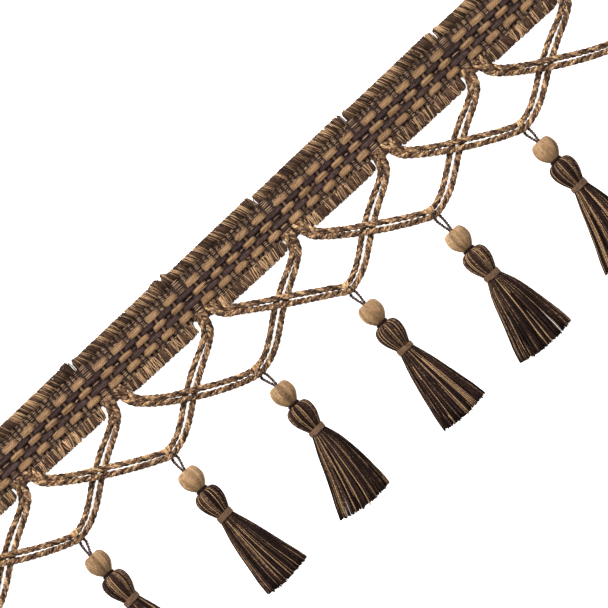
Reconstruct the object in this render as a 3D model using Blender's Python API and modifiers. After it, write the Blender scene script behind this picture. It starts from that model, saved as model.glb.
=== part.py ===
"""A cut length of beaded tassel fringe, the trimming sewn along the edge of a curtain or a cushion.

The trim lies face up on a flat surface. X runs along its woven heading, the tassels point to -Y,
and +Z is the face. The origin is on the heading's back, at the middle of its length and width.

From a woven heading with a brushed edge on both sides, pairs of cord drop in swags that cross
each other. A dark thread loop round the foot of each swag carries a thread-covered bead and a
tassel with a wrapped neck.
"""
import math
import random

import bmesh
import bpy
import numpy as np
from mathutils import Vector

MM = 0.001
SEAT_GAP = 0.3 * MM                 # left between two pieces that touch

# Heading: a woven tape with rows of floats and a brushed edge on both sides
SWAGS = 8                           # a swag spans two repeats, so there are two more columns
COLUMNS = SWAGS + 2
REPEAT = 40.8 * MM                  # between two junction columns
END_LENGTH = 9.0 * MM               # tape beyond the first and the last column
COLUMN_DRIFT = (0, 0, 0.6, 0.3, 1.4, 0.3, -0.6, -0.6, 0, 0)     # mm off the even repeat
UPPER_GROOVE = 6.6 * MM             # where the brushed edges meet the ground of the weave
LOWER_GROOVE = -6.4 * MM
BRUSH_DEPTH = 4.5 * MM
GROUND_HEIGHT = 1.5 * MM
GAP_HEIGHT = 1.7 * MM               # a float's height where it dips under
FLOAT_RISE = 0.9 * MM
BRUSH_HEIGHT = 2.5 * MM
TIP_HEIGHT = 0.8 * MM

# (y in mm, crown): a tan row is high where the crown is 1, and a dark row where it is 0
WEAVE_ROWS = ((3.5, 1), (1.5, 0), (-0.35, 1), (-2.35, 0), (-4.4, 1))

# Along one repeat, in mm: offset from the column, crown, upper edge, lower edge.
# The upper edge has a notch just before the column, and the lower edge a recess for the cords.
HEADING_STATIONS = (
    (-3.5, 0.5, 11.7, 7.4),
    (-2.95, 0.3, 7.6, 7.4),
    (-2.4, 0.1, 11.3, 7.4),
    (-0.8, 0.0, 11.4, 7.4),
    (5.6, 1.0, 10.9, 7.4),
    (9.0, 0.0, 10.9, 11.6),
    (12.25, 1.0, 11.1, 11.5),
    (16.0, 0.0, 11.1, 11.7),
    (19.75, 1.0, 11.2, 11.5),
    (23.55, 0.0, 11.2, 11.7),
    (27.3, 1.0, 11.3, 11.6),
    (30.8, 0.0, 11.6, 11.8),
    (32.4, 0.7, 11.9, 11.5),
    (36.1, 0.8, 12.2, 7.4),
)
CUT_END = (0.5, 11.2, 11.5)         # crown, upper edge and lower edge of a cut end, in mm

# Swag cords
CORD_RADIUS = 1.0 * MM
ARM_POINTS = 10                     # on each arm of a swag, with the foot in both
CURVE_STEPS = 12                    # fine steps between two points of a route
SHOULDER_Y = -9.8 * MM              # where a swag's two arms are measured from
LEFT_SHOULDER = 3.2 * MM            # from the column to the middle of the pair that starts there
RIGHT_SHOULDER = -1.9 * MM          # and of the pair that ends there

# A pair's route: along and down as shares of the arm's span and drop, the height of the cords'
# middle and half the distance between the two cords, in mm. The left arm passes over the
# right arm of the swag before it, and the foot stands off for the thread below it.
LEFT_ARM = (
    (0.0, -0.084, 1.0, 1.15),
    (0.0, 0.0, 1.05, 1.15),
    (0.05, 0.135, 1.3, 1.2),
    (0.14, 0.265, 2.1, 1.25),
    (0.25, 0.395, 3.05, 1.25),
    (0.365, 0.51, 3.4, 1.25),
    (0.475, 0.615, 3.4, 1.25),
    (0.59, 0.72, 3.4, 1.25),
    (0.75, 0.85, 2.9, 1.2),
    (0.89, 0.95, 2.2, 1.2),
    (1.0, 1.0, 2.0, 1.15),
)
RIGHT_ARM = (
    (0.15, 0.057, 1.7, 1.25),
    (0.26, 0.155, 1.2, 1.4),
    (0.363, 0.273, 1.0, 1.45),
    (0.46, 0.39, 1.0, 1.45),
    (0.565, 0.5, 1.0, 1.45),
    (0.68, 0.61, 1.0, 1.45),
    (0.8, 0.71, 1.0, 1.45),
    (0.915, 0.82, 1.0, 1.3),
    (0.985, 0.94, 1.0, 1.2),
    (1.0, 1.0, 1.0, 1.15),
    (1.0, 1.084, 1.0, 1.15),
)

# One row for each swag and its tassel, in mm but for the slack: how far the foot is off the even
# repeat, the foot's y, how much the left arm bows, then the tassel's offset, how much higher it
# hangs, how far its skirt leans, and half the skirt's width at the end.
HANG_ROWS = (
    (0.8, -33.6, 1.0, 0.8, 0.0, -1.0, 9.2),
    (1.4, -33.6, 1.0, 0.7, 0.0, 0.5, 9.2),
    (2.0, -33.9, 0.75, 1.7, -0.3, 1.7, 9.1),
    (1.55, -33.6, 1.25, 2.5, 0.0, -4.35, 10.25),
    (1.25, -33.5, 0.2, 1.6, 0.1, 0.4, 9.3),
    (-1.75, -34.1, 0.8, -1.5, -1.4, -1.75, 11.1),
    (-1.15, -32.9, 0.9, -0.95, 0.9, -4.0, 9.5),
    (-0.8, -33.6, 1.0, -0.8, 0.0, 1.0, 9.2),
)

# Thread loop
THREAD_RADIUS = 0.35 * MM
TURN_STEPS = 2                      # points in each quarter of the turn round the cords
LEG_OFFSET = 0.8 * MM               # each leg from the foot's middle, below the cords
BORE_LEG_OFFSET = 0.53 * MM         # and inside the bead
LEG_BEND_SHARE = 0.4                # where a leg starts to draw in, from the bead to the cords

# Bead, turned: (depth below its top, radius) in mm
BEAD_TOP = -41.9 * MM
BEAD_SIDES = 10
BEAD_BORE_RADIUS = 1.3
BEAD_PROFILE = ((0.0, 1.9), (0.8, 3.0), (2.6, 3.95), (4.4, 3.75), (6.2, 2.8), (7.6, 1.7))
BEAD_AXIS_HEIGHT = 3.95 * MM

# Tassel head and neck, turned: (depth below its top, radius) in mm
HEAD_SIDES = 12
HEAD_PROFILE = ((0.0, 0.0), (0.0, 1.7), (0.5, 3.3), (1.6, 4.5), (3.2, 4.9), (6.0, 4.5),
                (8.6, 3.55), (9.9, 2.72), (13.3, 2.72), (13.3, 0.0))
HEAD_AXIS_HEIGHT = 4.9 * MM
WRAP_DEPTHS = (10.2, 13.0)          # the wrapped band, below the head's top, in mm
WRAP_RADII = (3.02, 3.3)            # its inside and outside, in mm

# Skirt: locks from the neck to the hem, by depth below the head's top
ROOT_DEPTH = 12.4 * MM
WAIST_DEPTH = 25.5 * MM
HEM_DEPTH = 42.0 * MM
OUTER_LOCKS = 16
INNER_LOCKS = 4
WAIST_SHARE = 0.73                  # the skirt's width at the waist, as a share of the hem's
ROOT_RING_RADIUS = 2.15 * MM
INNER_ROOT_STEP = 0.7 * MM
ROOT_LOCK_RADIUS = 0.42 * MM
INNER_ROOT_LOCK_RADIUS = 0.36 * MM
WAIST_LOCK_RADIUS = 0.88 * MM
HEM_LOCK_RADIUS = 1.1 * MM
WAIST_HALF_HEIGHT = 3.3 * MM
HEM_HALF_HEIGHT = 3.0 * MM
HEM_UNEVENNESS = 0.5 * MM
HEM_RIM = 3                         # lock radii kept for the outer locks on each side of the hem
LOCK_SIDES = 3

# Name: colour, roughness
MATERIALS = {
    "heading_weave": ((0.110, 0.070, 0.045), 0.9),
    "swag_cord": ((0.180, 0.105, 0.055), 0.85),
    "loop_thread": ((0.030, 0.020, 0.017), 0.8),
    "bead_thread": ((0.420, 0.260, 0.130), 0.6),
    "neck_wrap": ((0.230, 0.140, 0.085), 0.75),
    "tassel_yarn": ((0.045, 0.028, 0.020), 0.85),
}


def clear_scene():
    """Remove every object of the scene that the script starts in."""
    for thing in list(bpy.data.objects):
        bpy.data.objects.remove(thing, do_unlink=True)


def new_collection(name):
    """Make a collection under the scene's own."""
    collection = bpy.data.collections.new(name)
    bpy.context.scene.collection.children.link(collection)
    return collection


def make_material(name):
    """Make a plain Principled material from its row in MATERIALS."""
    colour, roughness = MATERIALS[name]
    material = bpy.data.materials.new(name)
    material.use_nodes = True
    shader = material.node_tree.nodes["Principled BSDF"]
    shader.inputs["Base Color"].default_value = (*colour, 1.0)
    shader.inputs["Roughness"].default_value = roughness
    shader.inputs["Metallic"].default_value = 0.0
    return material


def even_x(index):
    """Return where a junction column would stand if the repeats were even."""
    return (index - (COLUMNS - 1) / 2) * REPEAT


def column_x(index):
    """Return where a junction column stands along the heading."""
    return even_x(index) + COLUMN_DRIFT[index] * MM


def smooth_curve(points):
    """Return fine points along a Catmull-Rom curve through the given points."""
    points = np.array(points)
    padded = np.vstack([2 * points[0] - points[1], points, 2 * points[-1] - points[-2]])
    shares = np.linspace(0.0, 1.0, CURVE_STEPS, endpoint=False)[:, None]
    stretches = []
    for index in range(1, len(padded) - 2):
        before, start, end, after = padded[index - 1:index + 3]
        stretches.append(0.5 * (2 * start + (end - before) * shares
                                + (2 * before - 5 * start + 4 * end - after) * shares ** 2
                                + (3 * start - before - 3 * end + after) * shares ** 3))
    return np.vstack(stretches + [points[-1:]])


def evenly_spaced(curve, count):
    """Return count points, evenly spaced along a fine curve."""
    steps = np.linalg.norm(np.diff(curve, axis=0), axis=1)
    travelled = np.concatenate([[0.0], np.cumsum(steps)])
    stops = np.linspace(0.0, travelled[-1], count)
    return np.column_stack([np.interp(stops, travelled, curve[:, axis]) for axis in range(3)])


def tube(name, points, radius, resolution, material, collection):
    """Make a cord or a thread: a curve with a round bevel and filled caps."""
    curve = bpy.data.curves.new(name, "CURVE")
    curve.dimensions = "3D"
    curve.bevel_depth = radius
    curve.bevel_resolution = resolution
    curve.use_fill_caps = True
    spline = curve.splines.new("POLY")
    spline.points.add(len(points) - 1)
    for point, place in zip(spline.points, points):
        point.co = (*place, 1.0)
    curve.materials.append(material)
    piece = bpy.data.objects.new(name, curve)
    collection.objects.link(piece)
    return piece


def mesh_object(name, bm, material, collection):
    """Turn a bmesh into an object with one material."""
    mesh = bpy.data.meshes.new(name)
    bm.to_mesh(mesh)
    bm.free()
    mesh.materials.append(material)
    piece = bpy.data.objects.new(name, mesh)
    collection.objects.link(piece)
    return piece


def turned_mesh(name, profile, material):
    """Make the open profile of a turned piece, for a Screw modifier; depths run down local Z."""
    bm = bmesh.new()
    verts = [bm.verts.new((radius * MM, 0.0, -depth * MM)) for depth, radius in profile]
    for start, end in zip(verts, verts[1:]):
        bm.edges.new((start, end))
    mesh = bpy.data.meshes.new(name)
    bm.to_mesh(mesh)
    bm.free()
    mesh.materials.append(material)
    return mesh


def turned_object(name, mesh, sides, place, collection):
    """Place a turned piece with its axis along the trim's hang, its top towards the heading."""
    piece = bpy.data.objects.new(name, mesh)
    piece.location = place
    piece.rotation_euler = (-math.pi / 2, 0.0, 0.0)
    screw = piece.modifiers.new("Turn", "SCREW")
    screw.axis = "Z"
    screw.steps = sides
    screw.render_steps = sides
    screw.use_merge_vertices = True
    screw.merge_threshold = 0.00001
    screw.use_smooth_shade = True
    collection.objects.link(piece)
    return piece


def heading_outline():
    """Return rows of (x, crown, upper edge, lower edge) from one cut end to the other."""
    crown, upper, lower = CUT_END
    rows = [(column_x(0) - END_LENGTH, crown, upper, lower)]
    for index in range(COLUMNS):
        start = column_x(index)
        last = index == COLUMNS - 1
        stretch = 1.0 if last else (column_x(index + 1) - start) / REPEAT
        for offset, crown, upper, lower in HEADING_STATIONS:
            if last and offset * MM >= END_LENGTH:
                break
            rows.append((start + offset * MM * (stretch if offset > 0 else 1.0), crown, upper, lower))
    crown, upper, lower = CUT_END
    rows.append((column_x(COLUMNS - 1) + END_LENGTH, crown, upper, lower))
    return rows


def brush_height(edge, groove):
    """Return a brushed edge's height halfway out, lower where a notch or a recess cuts it back."""
    share = min(1.0, abs(edge - groove) / BRUSH_DEPTH)
    return GROUND_HEIGHT + (BRUSH_HEIGHT - GROUND_HEIGHT) * share


def heading_section(crown, upper, lower):
    """Return the (y, z) points of the heading's face at one station, from top to bottom."""
    section = [(upper, TIP_HEIGHT),
               ((upper + UPPER_GROOVE) / 2, brush_height(upper, UPPER_GROOVE)),
               (UPPER_GROOVE, GROUND_HEIGHT)]
    for y, tan in WEAVE_ROWS:
        lift = crown if tan else 1.0 - crown
        section.append((y * MM, GAP_HEIGHT + FLOAT_RISE * lift))
    section += [(LOWER_GROOVE, GROUND_HEIGHT),
                ((lower + LOWER_GROOVE) / 2, brush_height(lower, LOWER_GROOVE)),
                (lower, TIP_HEIGHT)]
    return section


def build_heading(material, collection):
    """Shape a grid into the heading's face and extrude it down to a flat back."""
    stations = [(x, heading_section(crown, upper * MM, -lower * MM))
                for x, crown, upper, lower in heading_outline()]
    across = len(stations[0][1])
    bm = bmesh.new()
    bmesh.ops.create_grid(bm, x_segments=len(stations) - 1, y_segments=across - 1, size=1.0)
    for vert in bm.verts:
        column = round((vert.co.x + 1.0) / 2.0 * (len(stations) - 1))
        row = round((1.0 - vert.co.y) / 2.0 * (across - 1))
        x, section = stations[column]
        y, z = section[row]
        vert.co = (x, y, z)
    extruded = bmesh.ops.extrude_face_region(bm, geom=bm.faces[:])["geom"]
    back = [item for item in extruded if isinstance(item, bmesh.types.BMVert)]
    for vert in back:
        vert.co.z = 0.0
    flat = set(back)
    inner = [edge for edge in bm.edges if flat.issuperset(edge.verts) and not edge.is_boundary
             and all(flat.issuperset(face.verts) for face in edge.link_faces)]
    bmesh.ops.dissolve_edges(bm, edges=inner, use_verts=False)
    loose = [vert for vert in back if vert.is_valid and not vert.link_faces]
    bmesh.ops.delete(bm, geom=loose, context="VERTS")
    bmesh.ops.recalc_face_normals(bm, faces=bm.faces[:])
    return mesh_object("heading", bm, material, collection)


def foot_place(swag):
    """Return the middle of a swag's foot, where its tassel hangs."""
    offset, foot_y = HANG_ROWS[swag][:2]
    return Vector((even_x(swag + 1) + offset * MM, foot_y * MM, LEFT_ARM[-1][2] * MM))


def swag_route(swag):
    """Return a pair's middle line as (x, y, z, half spacing) rows, in metres."""
    slack = HANG_ROWS[swag][2]
    foot = foot_place(swag)
    start_x = column_x(swag) + LEFT_SHOULDER
    end_x = column_x(swag + 2) + RIGHT_SHOULDER
    rows = []
    for along, down, height, spread in LEFT_ARM:
        bowed = along + slack * (down - along) if along > 0.0 else down
        rows.append((start_x + along * (foot.x - start_x),
                     SHOULDER_Y + bowed * (foot.y - SHOULDER_Y), height * MM, spread * MM))
    for along, up, height, spread in RIGHT_ARM:
        rows.append((foot.x + along * (end_x - foot.x),
                     foot.y + up * (SHOULDER_Y - foot.y), height * MM, spread * MM))
    return rows


def cord_route(swag, side):
    """Return one cord's points; side is 1 for the inner cord and -1 for the outer one."""
    rows = np.array(swag_route(swag))
    ahead = np.gradient(rows[:, :2], axis=0)
    ahead /= np.linalg.norm(ahead, axis=1)[:, None]
    rows[:, 0] -= side * ahead[:, 1] * rows[:, 3]
    rows[:, 1] += side * ahead[:, 0] * rows[:, 3]
    curve = smooth_curve(rows[:, :3])
    curve[:, 2] = np.maximum(curve[:, 2], CORD_RADIUS)
    foot = (len(LEFT_ARM) - 1) * CURVE_STEPS
    return np.vstack([evenly_spaced(curve[:foot + 1], ARM_POINTS),
                      evenly_spaced(curve[foot:], ARM_POINTS)[1:]])


def tassel_place(swag):
    """Return a tassel's axis along the heading and how much higher than the others it hangs."""
    offset, lift = HANG_ROWS[swag][3:5]
    return even_x(swag + 1) + offset * MM, lift * MM


def thread_route(swag):
    """Return the loop's points: through the bead, under the foot, over it and back."""
    foot = foot_place(swag)
    axis_x, lift = tassel_place(swag)
    bead_top = BEAD_TOP + lift
    bead_foot = bead_top - BEAD_PROFILE[-1][0] * MM
    inner_y = foot.y + LEFT_ARM[-1][3] * MM
    reach = CORD_RADIUS + SEAT_GAP + THREAD_RADIUS
    near_y = 2 * foot.y - inner_y - reach

    def leg(side, height):
        offset = foot.x + side * LEG_OFFSET
        return [
            (axis_x + side * BORE_LEG_OFFSET, bead_foot, BEAD_AXIS_HEIGHT),
            (axis_x + side * BORE_LEG_OFFSET, bead_top, BEAD_AXIS_HEIGHT),
            (offset, bead_top + LEG_BEND_SHARE * (near_y - bead_top), (BEAD_AXIS_HEIGHT + height) / 2),
            (offset, near_y, height),
        ]

    over = [(foot.x + LEG_OFFSET * turn / TURN_STEPS / 2,
             inner_y + reach * math.cos(turn * math.pi / 2 / TURN_STEPS),
             foot.z + reach * math.sin(turn * math.pi / 2 / TURN_STEPS))
            for turn in range(-TURN_STEPS, TURN_STEPS + 1)]
    return leg(-1, foot.z - reach) + over + leg(1, foot.z + reach)[::-1]


def ellipse_ring(count, half_width, half_height):
    """Return count (x, z) offsets spaced evenly along an ellipse, half a step off its side."""
    angles = np.linspace(0.0, 2 * math.pi, 721)
    across = half_width * np.cos(angles)
    upward = half_height * np.sin(angles)
    steps = np.hypot(np.diff(across), np.diff(upward))
    travelled = np.concatenate([[0.0], np.cumsum(steps)])
    stops = (np.arange(count) + 0.5) / count * travelled[-1]
    return list(zip(np.interp(stops, travelled, across), np.interp(stops, travelled, upward)))


def add_lock(bm, stations):
    """Add a three-sided lock of yarn with a flat side down, through (centre, radius) stations."""
    faces = None
    root_face = None
    for centre, radius in stations:
        corners = [Vector(centre) + Vector((radius * math.cos(turn), 0.0, radius * math.sin(turn)))
                   for turn in (math.pi / 2 + 2 * math.pi * k / LOCK_SIDES for k in range(LOCK_SIDES))]
        if faces is None:
            ring = bmesh.ops.create_circle(bm, cap_ends=True, segments=LOCK_SIDES, radius=radius)["verts"]
            faces = [face for face in bm.faces if set(face.verts) == set(ring)]
            root_face = faces[0]
        else:
            grown = bmesh.ops.extrude_face_region(bm, geom=faces)["geom"]
            if faces[0].is_valid and faces[0] is not root_face:
                bmesh.ops.delete(bm, geom=faces, context="FACES_ONLY")
            old_order = ring
            fresh = [item for item in grown if isinstance(item, bmesh.types.BMVert)]
            ring = [min(fresh, key=lambda vert: (vert.co - old.co).length) for old in old_order]
            faces = [item for item in grown if isinstance(item, bmesh.types.BMFace)]
        for vert, corner in zip(ring, corners):
            vert.co = corner


def build_skirt(swag, material, guides):
    """Make the locks of one tassel's skirt, apart from each other, for the union with its head."""
    lean, half_width = (value * MM for value in HANG_ROWS[swag][5:7])
    axis_x, lift = tassel_place(swag)
    top = head_top(lift)
    chance = random.Random(swag + 1)
    root_ring = ellipse_ring(OUTER_LOCKS, ROOT_RING_RADIUS, ROOT_RING_RADIUS)
    waist_ring = ellipse_ring(OUTER_LOCKS, WAIST_SHARE * half_width - WAIST_LOCK_RADIUS,
                              WAIST_HALF_HEIGHT)
    hem_ring = ellipse_ring(OUTER_LOCKS, half_width - HEM_LOCK_RADIUS, HEM_HALF_HEIGHT)
    waist_z = WAIST_HALF_HEIGHT + WAIST_LOCK_RADIUS / 2
    hem_z = HEM_HALF_HEIGHT + HEM_LOCK_RADIUS / 2
    waist_share = (WAIST_DEPTH - ROOT_DEPTH) / (HEM_DEPTH - ROOT_DEPTH)
    bm = bmesh.new()

    def lock(root, waist, hem, root_radius):
        depth = HEM_DEPTH + chance.uniform(-HEM_UNEVENNESS, HEM_UNEVENNESS)
        add_lock(bm, [
            ((axis_x + root[0], top - ROOT_DEPTH, HEAD_AXIS_HEIGHT + root[1]), root_radius),
            ((axis_x + waist_share * lean + waist[0], top - WAIST_DEPTH, waist[1]), WAIST_LOCK_RADIUS),
            ((axis_x + lean + hem[0], top - depth, hem[1]), HEM_LOCK_RADIUS),
        ])

    for root, waist, hem in zip(root_ring, waist_ring, hem_ring):
        lock(root, (waist[0], waist_z + waist[1]), (hem[0], hem_z + hem[1]), ROOT_LOCK_RADIUS)
    hem_step = 2 * (half_width - HEM_RIM * HEM_LOCK_RADIUS) / INNER_LOCKS
    for index in range(INNER_LOCKS):
        place = index - (INNER_LOCKS - 1) / 2
        lock((place * INNER_ROOT_STEP, 0.0), (place * WAIST_SHARE * hem_step, waist_z),
             (place * hem_step, hem_z), INNER_ROOT_LOCK_RADIUS)
    bmesh.ops.recalc_face_normals(bm, faces=bm.faces[:])
    skirt = mesh_object(f"skirt_locks_{swag + 1}", bm, material, guides)
    skirt.hide_render = True
    skirt.display_type = "WIRE"
    return skirt


def head_top(lift):
    """Return the y of a tassel head's top, just under its bead."""
    return BEAD_TOP + lift - BEAD_PROFILE[-1][0] * MM - SEAT_GAP


def build_tassel(swag, head_mesh, material, collection, guides):
    """Turn the head and fuse the skirt's locks into its neck."""
    axis_x, lift = tassel_place(swag)
    place = (axis_x, head_top(lift), HEAD_AXIS_HEIGHT)
    tassel = turned_object(f"tassel_{swag + 1}", head_mesh, HEAD_SIDES, place, collection)
    union = tassel.modifiers.new("Skirt", "BOOLEAN")
    union.operation = "UNION"
    union.solver = "EXACT"
    union.object = build_skirt(swag, material, guides)


def main():
    """Build the heading, then each swag with its thread loop, bead, neck wrap and tassel."""
    clear_scene()
    parts = new_collection("beaded_tassel_fringe")
    guides = new_collection("guides")
    paint = {name: make_material(name) for name in MATERIALS}
    build_heading(paint["heading_weave"], parts)

    bead_bore = ((BEAD_PROFILE[-1][0], BEAD_BORE_RADIUS), (BEAD_PROFILE[0][0], BEAD_BORE_RADIUS))
    bead_mesh = turned_mesh("bead", BEAD_PROFILE + bead_bore + BEAD_PROFILE[:1], paint["bead_thread"])
    head_mesh = turned_mesh("tassel_head", HEAD_PROFILE, paint["tassel_yarn"])
    inside, outside = WRAP_RADII
    upper, lower = WRAP_DEPTHS
    wrap_profile = ((upper, outside), (lower, outside), (lower, inside), (upper, inside), (upper, outside))
    wrap_mesh = turned_mesh("neck_wrap", wrap_profile, paint["neck_wrap"])

    for swag in range(SWAGS):
        number = swag + 1
        for label, side in (("inner", 1), ("outer", -1)):
            tube(f"swag_{number}_{label}", cord_route(swag, side), CORD_RADIUS, 2,
                 paint["swag_cord"], parts)
        tube(f"thread_{number}", thread_route(swag), THREAD_RADIUS, 0, paint["loop_thread"], parts)
        axis_x, lift = tassel_place(swag)
        turned_object(f"bead_{number}", bead_mesh, BEAD_SIDES,
                      (axis_x, BEAD_TOP + lift, BEAD_AXIS_HEIGHT), parts)
        turned_object(f"wrap_{number}", wrap_mesh, HEAD_SIDES,
                      (axis_x, head_top(lift), HEAD_AXIS_HEIGHT), parts)
        build_tassel(swag, head_mesh, paint["tassel_yarn"], parts, guides)


main()
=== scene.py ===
"""The finish of a cut length of beaded tassel fringe, lying face up on a pale floor.

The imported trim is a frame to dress: X runs along the woven heading, the tassels point to -Y and
+Z is the face. Sizes are in millimetres where MM multiplies them. Every yarn, ply and thread is
swept as its own strand, and carries its length and its tone for the procedural yarn finishes.
"""
import logging
import math
from dataclasses import dataclass, field
from enum import Enum

import bpy
import numpy as np
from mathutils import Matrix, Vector


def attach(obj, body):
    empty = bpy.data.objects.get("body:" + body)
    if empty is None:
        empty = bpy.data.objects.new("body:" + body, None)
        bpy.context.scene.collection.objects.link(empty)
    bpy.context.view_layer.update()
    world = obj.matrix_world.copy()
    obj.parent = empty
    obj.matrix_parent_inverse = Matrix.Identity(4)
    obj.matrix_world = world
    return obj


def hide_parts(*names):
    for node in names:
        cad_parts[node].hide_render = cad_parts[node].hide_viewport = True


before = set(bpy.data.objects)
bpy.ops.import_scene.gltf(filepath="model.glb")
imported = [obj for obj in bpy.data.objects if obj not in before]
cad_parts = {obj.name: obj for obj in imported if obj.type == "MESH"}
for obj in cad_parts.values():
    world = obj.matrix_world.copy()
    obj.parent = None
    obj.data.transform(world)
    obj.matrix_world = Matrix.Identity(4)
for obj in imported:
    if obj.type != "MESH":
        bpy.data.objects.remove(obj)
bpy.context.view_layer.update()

MM = 0.001
UP = np.array((0.0, 0.0, 1.0))
YARN_MAP = "yarn"                   # the UV map: millimetres along a strand, turns round it
YARN_LENGTH = 400.0                 # mm of yarn pattern that the strands' starts are spread over
TONE = "tone"                       # the point attribute: 0 for the dark yarn, 1 for the light one
LOG = logging.getLogger("trim")


class Slot(Enum):
    """The record's material slots."""

    HEADING = "heading_weave"
    CORD = "swag_cord"
    LOOP = "loop_thread"
    BEAD = "bead_thread"
    WRAP = "neck_wrap"
    TASSEL = "tassel_yarn"


@dataclass(frozen=True)
class Hang:
    """How one swag and its tassel hang, in mm but for the slack."""

    foot_dx: float
    foot_y: float
    slack: float
    tassel_dx: float
    lift: float
    lean: float
    half_width: float


@dataclass(frozen=True)
class TrimLayout:
    """The trim's setting-out, shared by every sub-assembly."""

    repeat: float = 40.8 * MM
    end_length: float = 9.0 * MM
    column_drift: tuple[float, ...] = (0, 0, 0.6, 0.3, 1.4, 0.3, -0.6, -0.6, 0, 0)
    foot_height: float = 2.0 * MM
    bead_top: float = -41.9 * MM
    bead_height: float = 7.6 * MM
    seat_gap: float = 0.3 * MM
    bead_axis: float = 4.25 * MM        # the height of a bead's axis
    head_axis: float = 4.9 * MM         # and of a tassel head's
    hangs: tuple[Hang, ...] = (
        Hang(0.8, -33.6, 1.0, 0.8, 0.0, -1.0, 9.2),
        Hang(1.4, -33.6, 1.0, 0.7, 0.0, 0.5, 9.2),
        Hang(2.0, -33.9, 0.75, 1.7, -0.3, 1.7, 9.1),
        Hang(1.55, -33.6, 1.25, 2.5, 0.0, -4.35, 10.25),
        Hang(1.25, -33.5, 0.2, 1.6, 0.1, 0.4, 9.3),
        Hang(-1.75, -34.1, 0.8, -1.5, -1.4, -1.75, 11.1),
        Hang(-1.15, -32.9, 0.9, -0.95, 0.9, -4.0, 9.5),
        Hang(-0.8, -33.6, 1.0, -0.8, 0.0, 1.0, 9.2),
    )

    @property
    def columns(self) -> int:
        """Return how many junction columns the heading has."""
        return len(self.hangs) + 2

    def even_x(self, index: int) -> float:
        """Return where a junction column would stand if the repeats were even."""
        return (index - (self.columns - 1) / 2) * self.repeat

    def column_x(self, index: int) -> float:
        """Return where a junction column stands; one past either end keeps the even repeat."""
        held = min(max(index, 0), self.columns - 1)
        return self.even_x(index) + self.column_drift[held] * MM

    def offset_x(self, index: int, offset: float) -> float:
        """Return a place in mm after a column, drawn out with its own repeat."""
        pitch = self.column_x(index + 1) - self.column_x(index)
        return self.column_x(index) + offset * MM * (pitch / self.repeat if offset > 0 else 1.0)

    @property
    def cut_ends(self) -> tuple[float, float]:
        """Return x at the heading's two cut ends."""
        return (self.column_x(0) - self.end_length,
                self.column_x(self.columns - 1) + self.end_length)

    def foot(self, swag: int) -> Vector:
        """Return the middle of a swag's foot."""
        hang = self.hangs[swag]
        return Vector((self.even_x(swag + 1) + hang.foot_dx * MM, hang.foot_y * MM,
                       self.foot_height))

    def tassel_x(self, swag: int) -> float:
        """Return the x of a tassel's axis."""
        return self.even_x(swag + 1) + self.hangs[swag].tassel_dx * MM

    def bead_y(self, swag: int) -> float:
        """Return the y of a bead's top."""
        return self.bead_top + self.hangs[swag].lift * MM

    def head_y(self, swag: int) -> float:
        """Return the y of a tassel head's top, just under its bead."""
        return self.bead_y(swag) - self.bead_height - self.seat_gap


def unit(vectors: np.ndarray) -> np.ndarray:
    """Return vectors scaled to length one along their last axis."""
    return vectors / np.maximum(np.linalg.norm(vectors, axis=-1, keepdims=True), 1e-12)


def strand_frames(centres: np.ndarray, outward: np.ndarray = UP
                  ) -> tuple[np.ndarray, np.ndarray, np.ndarray]:
    """Carry a cross-section's two directions along each strand without twist.

    Args:
        centres: (strands, points, 3) centre lines.
        outward: where up points at a strand's start, one for all or one for each strand.

    Returns:
        The directions ahead, up and aside at every point.
    """
    ahead = unit(np.gradient(centres, axis=1))
    first = ahead[:, 0]
    outward = np.broadcast_to(outward, first.shape)
    up = outward - np.sum(first * outward, axis=1)[:, None] * first
    weak = np.linalg.norm(up, axis=1) < 0.2
    up[weak] = np.cross(first[weak], (1.0, 0.0, 0.0))
    carried = [unit(up)]
    for index in range(1, centres.shape[1]):
        step = ahead[:, index]
        held = carried[-1]
        carried.append(unit(held - np.sum(held * step, axis=1)[:, None] * step))
    up = np.stack(carried, axis=1)
    return ahead, up, np.cross(ahead, up)


def lengths_along(centres: np.ndarray) -> np.ndarray:
    """Return (strands, points) distances from each strand's start."""
    steps = np.linalg.norm(np.diff(centres, axis=1), axis=2)
    return np.concatenate([np.zeros((len(steps), 1)), np.cumsum(steps, axis=1)], axis=1)


def twisted_plies(centres: np.ndarray, plies: int, offset: float, pitch: float,
                  phase: np.ndarray | float = 0.0) -> np.ndarray:
    """Lay plies round each centre line.

    Args:
        centres: (strands, points, 3) centre lines.
        plies: how many plies each strand has.
        offset: distance of a ply's middle from the strand's.
        pitch: length of one full turn.
        phase: a starting turn in radians, one for all or one for each strand.

    Returns:
        (strands * plies, points, 3) centre lines, the plies of a strand side by side.
    """
    _, up, aside = strand_frames(centres)
    turns = 2 * math.pi * lengths_along(centres) / pitch
    turns = turns + np.broadcast_to(np.asarray(phase, float).reshape(-1, 1), turns.shape)
    laid = []
    for ply in range(plies):
        angle = turns + 2 * math.pi * ply / plies
        laid.append(centres + offset * (np.cos(angle)[..., None] * up
                                        + np.sin(angle)[..., None] * aside))
    return np.stack(laid, axis=1).reshape(-1, centres.shape[1], 3)


def smooth_curve(points: np.ndarray, steps: int) -> np.ndarray:
    """Return fine points along a Catmull-Rom curve, with that many steps a stretch."""
    padded = np.vstack([2 * points[0] - points[1], points, 2 * points[-1] - points[-2]])
    shares = np.linspace(0.0, 1.0, steps, endpoint=False)[:, None]
    stretches = []
    for index in range(1, len(padded) - 2):
        before, start, end, after = padded[index - 1:index + 3]
        stretches.append(0.5 * (2 * start + (end - before) * shares
                                + (2 * before - 5 * start + 4 * end - after) * shares ** 2
                                + (3 * start - before - 3 * end + after) * shares ** 3))
    return np.vstack(stretches + [points[-1:]])


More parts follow.
